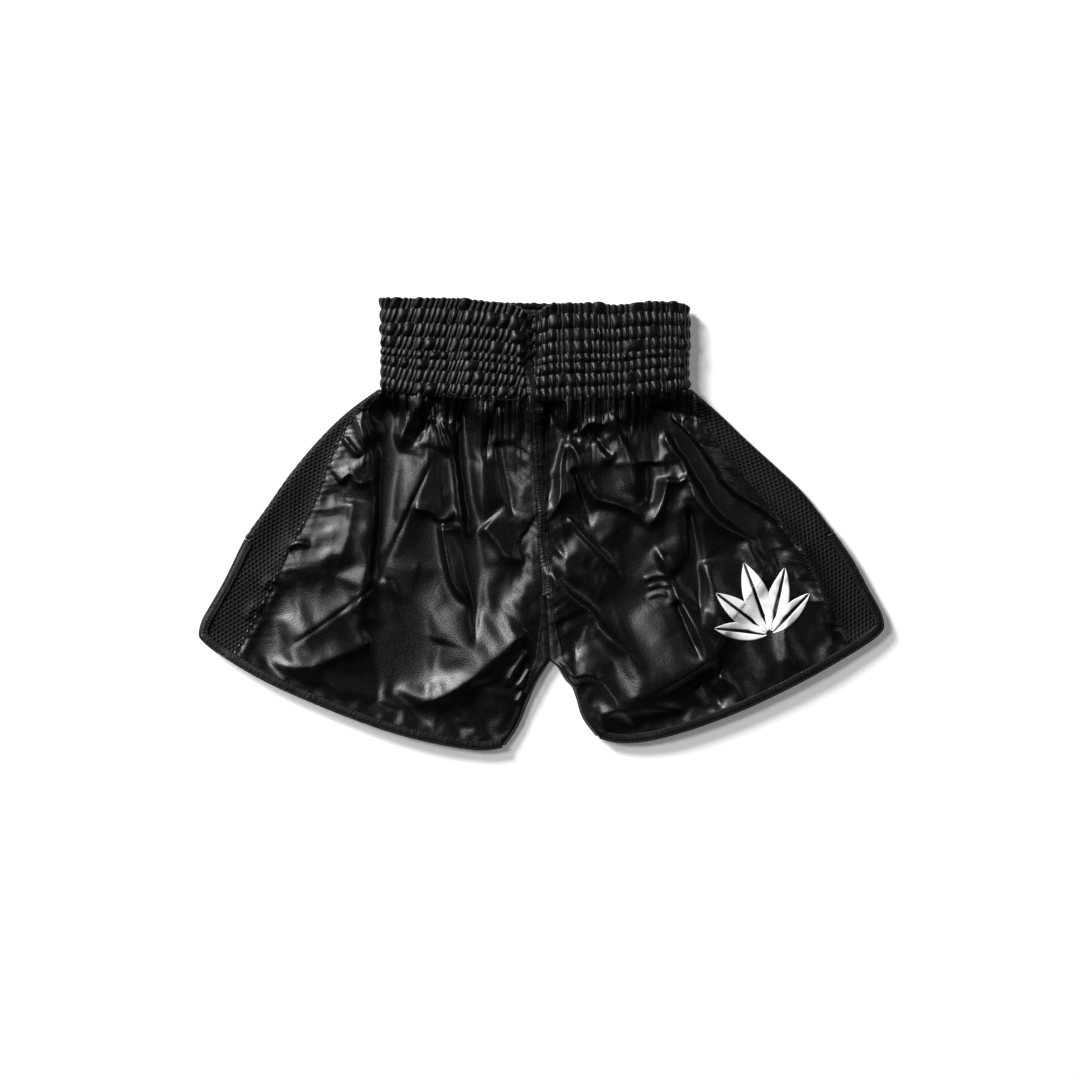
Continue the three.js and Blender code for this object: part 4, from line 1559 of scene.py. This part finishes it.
def gussetHalf(leg, front, tree):
    # from the panel, over the edge at the middle and down to half the height
    row = np.linspace(cut["gussetStartRow"], cut["gussetEndRow"], gusset["rows"])
    peak, above = cut["crotchRow"], row < cut["crotchRow"]
    tip = np.where(above, gusset["tip"], gusset["end"])
    ends = np.where(above, cut["gussetStartRow"], cut["gussetEndRow"])
    reach = mix(cut["gussetWidth"], tip, np.abs(row - peak) / np.abs(ends - peak))
    v = (row / cut["rows"])[:, None]
    width = leg.width(v[:, 0])[:, None]
    outer = np.maximum(reach, cut["edgeRadius"] + 0.6)[:, None]
    u = 1 - mix(outer, cut["edgeRadius"], np.linspace(0, 1, gusset["columns"])) / width
    x, y, z = (frontTop if front else backTop)(leg, u, v)
    sign = 1 if front else -1
    wrinkle = 0.5 * drift(x * 1.4, y * 0.6, 7, seed=61) + 0.35 * drift(x, y, 3, seed=62)
    if front:
        laid = np.maximum(clothHeight(tree, x, y, z), z - 2)
        z = laid + gusset["proud"] + np.maximum(wrinkle, -0.2)
    else:
        z = np.maximum(z - gusset["proud"], 0.1)
    grid = np.stack([x, y, z], axis=-1)
    last, before = grid[:, -1], leg.plan(np.ones(len(row)), v[:, 0])
    outside = before + (before - last[:, :2]) * 0.12
    below = belowGusset(v[:, 0])
    depth = mix(np.full(len(row), gusset["wrapDepth"]), np.abs(last[:, 2] - edgeZ), below)
    wrapped = []
    for angle in np.linspace(0, math.pi / 2, gusset["wrap"] + 1)[1:]:
        plan = mix(last[:, :2], mix(before, outside, below[:, None]), math.sin(angle))
        height = last[:, 2] - sign * depth * (1 - math.cos(angle))
        wrapped.append(np.column_stack([plan, height]))
    return np.concatenate([grid, np.stack(wrapped, axis=1)], axis=1)


def addGusset(leg):
    parts, rows = [], []
    for front, tree in ((True, fronts), (False, backs)):
        grid = gussetHalf(leg, front, tree)
        flip = front != (leg.side < 0)
        parts.append((grid, gridFaces(*grid.shape[:2], flip=flip)))
        if front:
            rows = stitchesAlong(grid[:, 2], *gusset["stitch"])
    points, faces = joinMeshes(parts)
    sheet = addMesh("gusset" + leg.name.title(), points, faces, satinInside)
    thicken(sheet, gusset["thickness"])
    return sheet, addThreads("gussetStitches" + leg.name.title(), rows)


inseam = {
    "steps": 110,
    "corners": 12,
    "run": 90,  # mm
    "halfWidth": 0.95,
    "halfHeight": 2.1,
    "ridge": 0.35,
    "ridgePitch": 2.2,
}


def addInseam(leg):
    # the overlocked ridge where front and back meet below the gusset
    steps, corners = inseam["steps"], inseam["corners"]
    end = 1 - 3.5 / leg.length(np.ones(1))[0]
    v = np.linspace((cut["gussetEndRow"] - 0.4) / cut["rows"], end, steps)
    edge = leg.plan(np.ones(steps), v)
    angle = np.linspace(0, 2 * math.pi, corners, endpoint=False)[None, :]
    way = np.gradient(edge, axis=0)
    way /= np.linalg.norm(way, axis=1)[:, None]
    out = np.stack([way[:, 1], -way[:, 0]], axis=1)
    inwards = leg.plan(np.full(steps, 0.9), v) - edge
    out = out * -np.sign(np.sum(out * inwards, axis=1))[:, None]
    run = np.linspace(0, inseam["run"], steps)[:, None]
    loops = lobes(run, randomWidths(longRun, inseam["ridgePitch"], 66), 67) - 0.5
    ridge = 1 + inseam["ridge"] * loops
    proud = inseam["halfWidth"] * np.cos(angle) * ridge
    z = edgeZ + inseam["halfHeight"] * np.sin(angle) * ridge
    grid = np.stack([edge[:, :1] + out[:, :1] * proud, edge[:, 1:] + out[:, 1:] * proud, z], axis=-1)
    faces = gridFaces(steps, corners, loop=True) + [list(range(corners))]
    faces.append([(steps - 1) * corners + k for k in reversed(range(corners))])
    return addMesh("inseam" + leg.name.title(), grid.reshape(-1, 3), faces, blackThread)


tack = {
    "threads": 11,
    "pitch": 0.0013,  # share of the side's length, like the zigzag
    "zigzag": 0.0012,
    "reach": 5,  # mm each way round the fold
    "points": 9,
    "stand": 0.55,
    "width": 0.4,
}


def addTack(leg):
    # a bar of threads round the side fold at the top of the vent
    parts = []
    points = np.arange(tack["points"])
    s = np.linspace(-tack["reach"], tack["reach"], tack["points"])
    for k in range(tack["threads"]):
        t = ventShare - 0.004 - k * tack["pitch"] + tack["zigzag"] * (points % 2)
        line = sidePlace(leg, s, t, -tack["stand"])
        parts += [stitch(a, b, tack["width"]) for a, b in zip(line, line[1:])]
    return addThreads("ventTack" + leg.name.title(), parts)


gussets = {name: addGusset(leg) for name, leg in legs.items()}
inseams = {name: addInseam(leg) for name, leg in legs.items()}
tacks = {name: addTack(leg) for name, leg in legs.items()}
print("seams sewn")

# The lotus emblem in satin stitch

emblem = {
    "size": 92,
    "u": 0.345,
    "v": 0.83,
    "turn": 20,
    # tilt in degrees, length and half width as shares of the size
    "petals": (
        (0, 0.8, 0.2), (33, 0.72, 0.17), (-33, 0.72, 0.17), (64, 0.6, 0.14), (-64, 0.6, 0.14),
    ),
    "gap": 0.02,  # half of the bare line down a petal's middle, share of the size
    "threadPitch": 0.8,
    "thread": 0.16,
    "relief": 1.1,
    "slant": 0.55,
    "step": 0.28,
    "columns": 15,
    "sunk": 0.15,
    "stack": (0.35, 0.15),  # how far the middle petal and every other one stand over the rest
    "top": 26,
}


def petalHalf(tilt, length, width, hand):
    # half a petal as a pillow of slanting threads, on the flat, in millimetres
    size = emblem["size"]
    t = np.linspace(0.06, 0.985, int(length * size / emblem["step"]))[:, None]
    a, b = 3 * t * (1 - t) ** 2, 3 * t**2 * (1 - t)
    outerX = (a * width + b * width * 0.8) * size
    along = (a * length * 0.3 + b * length * 0.7 + t**3 * length) * size
    share = np.linspace(0, 1, emblem["columns"])[None, :]
    bare = emblem["gap"] * size * np.sqrt(np.clip(1.25 - t, 0, 1))
    x = mix(np.minimum(bare, outerX * 0.45), outerX, share)
    y = along + 0 * share
    threads = np.abs(np.sin(math.pi * (y + emblem["slant"] * x) / emblem["threadPitch"])) ** 0.6
    pillow = (4 * share * (1 - share)) ** 0.35 * ease(t / 0.05) * ease((1 - t) / 0.03)
    height = emblem["relief"] * pillow + emblem["thread"] * (threads - 0.5) * (pillow > 0.2)
    turn = math.radians(tilt + emblem["turn"])
    x = x * hand
    turnedX = x * math.cos(turn) - y * math.sin(turn)
    turnedY = x * math.sin(turn) + y * math.cos(turn)
    return turnedX, turnedY, height


def addEmblem(leg, tree):
    middleX, middleY = leg.plan(emblem["u"], emblem["v"])
    parts = []
    for order, (tilt, length, width) in enumerate(emblem["petals"]):
        for hand in (-1, 1):
            x, y, height = petalHalf(tilt, length, width, hand)
            x, y = x + middleX, y + middleY
            # the cloth's height is looked up at every fourth row and second column
            under = clothHeight(tree, x[::4, ::2], y[::4, ::2], 15)
            rows, columns = np.arange(x.shape[0]), np.arange(x.shape[1])
            lines = np.stack([np.interp(rows, rows[::4], line) for line in under.T], axis=1)
            full = np.stack([np.interp(columns, columns[::2], line) for line in lines])
            middleLift, sideLift = emblem["stack"]
            lift = middleLift if order == 0 else sideLift * (order % 2)
            z = full + height - emblem["sunk"] + lift
            grid = np.stack([x, y, np.minimum(z, emblem["top"])], axis=-1)
            parts.append((grid, gridFaces(*grid.shape[:2], flip=hand > 0)))
    points, faces = joinMeshes(parts)
    return addMesh("lotusEmblem", points, faces, whiteStitch)


lotus = addEmblem(legs["left"], clothTree(panels["left"][0]))
print("emblem stitched")

# The floor, then each piece baked in place with the model's parts it stands for hidden


def foldsWith(piece, *nodes, slot="satin"):
    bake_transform(piece)
    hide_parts(*nodes)


floorHalf = 15000
corners = [(x * floorHalf, y * floorHalf, 0) for x, y in ((-1, -1), (1, -1), (1, 1), (-1, 1))]
floor = addMesh("floor", corners, [[0, 1, 2, 3]], floorFinish("paleFloor"), smooth=False)
floor.location.z = -0.2 * mm

for name in legs:
    front, back = panels[name]
    knit, backing = sides[name]
    gussetSheet, gussetThreads = gussets[name]
    foldsWith(front, "front_panel_" + name)
    foldsWith(back, "back_panel_" + name)
    foldsWith(knit, "side_mesh_" + name, slot="mesh")
    foldsWith(backing, "side_mesh_" + name, slot="mesh")
    foldsWith(gussetSheet, "crotch_gusset_" + name)
    foldsWith(gussetThreads, "crotch_gusset_" + name, slot="thread")
    foldsWith(inseams[name], "inseam_" + name, slot="thread")
    foldsWith(tacks[name], "vent_tack_" + name, slot="thread")
    for isFront, place in ((True, "front_"), (False, "back_")):
        tape, stitches = bindings[name, isFront]
        foldsWith(tape, "hem_binding_" + place + name, slot="binding")
        foldsWith(stitches, "hem_binding_" + place + name, slot="thread")
for piece in frontSeam + waistbandSeam:
    foldsWith(piece, "centre_front_seam", slot="thread")
for piece in backSeam:
    foldsWith(piece, "centre_back_seam", slot="thread")
for number, ring in enumerate(elastics, 1):
    foldsWith(ring, f"waist_elastic_{number}", slot="elastic")
foldsWith(lotus, "emblem", slot="embroidery")
foldsWith(waistbandCover, "waistband_cover_right", "waistband_cover_left")
foldsWith(waistbandLining, "waistband_lining_right", "waistband_lining_left", slot="lining")
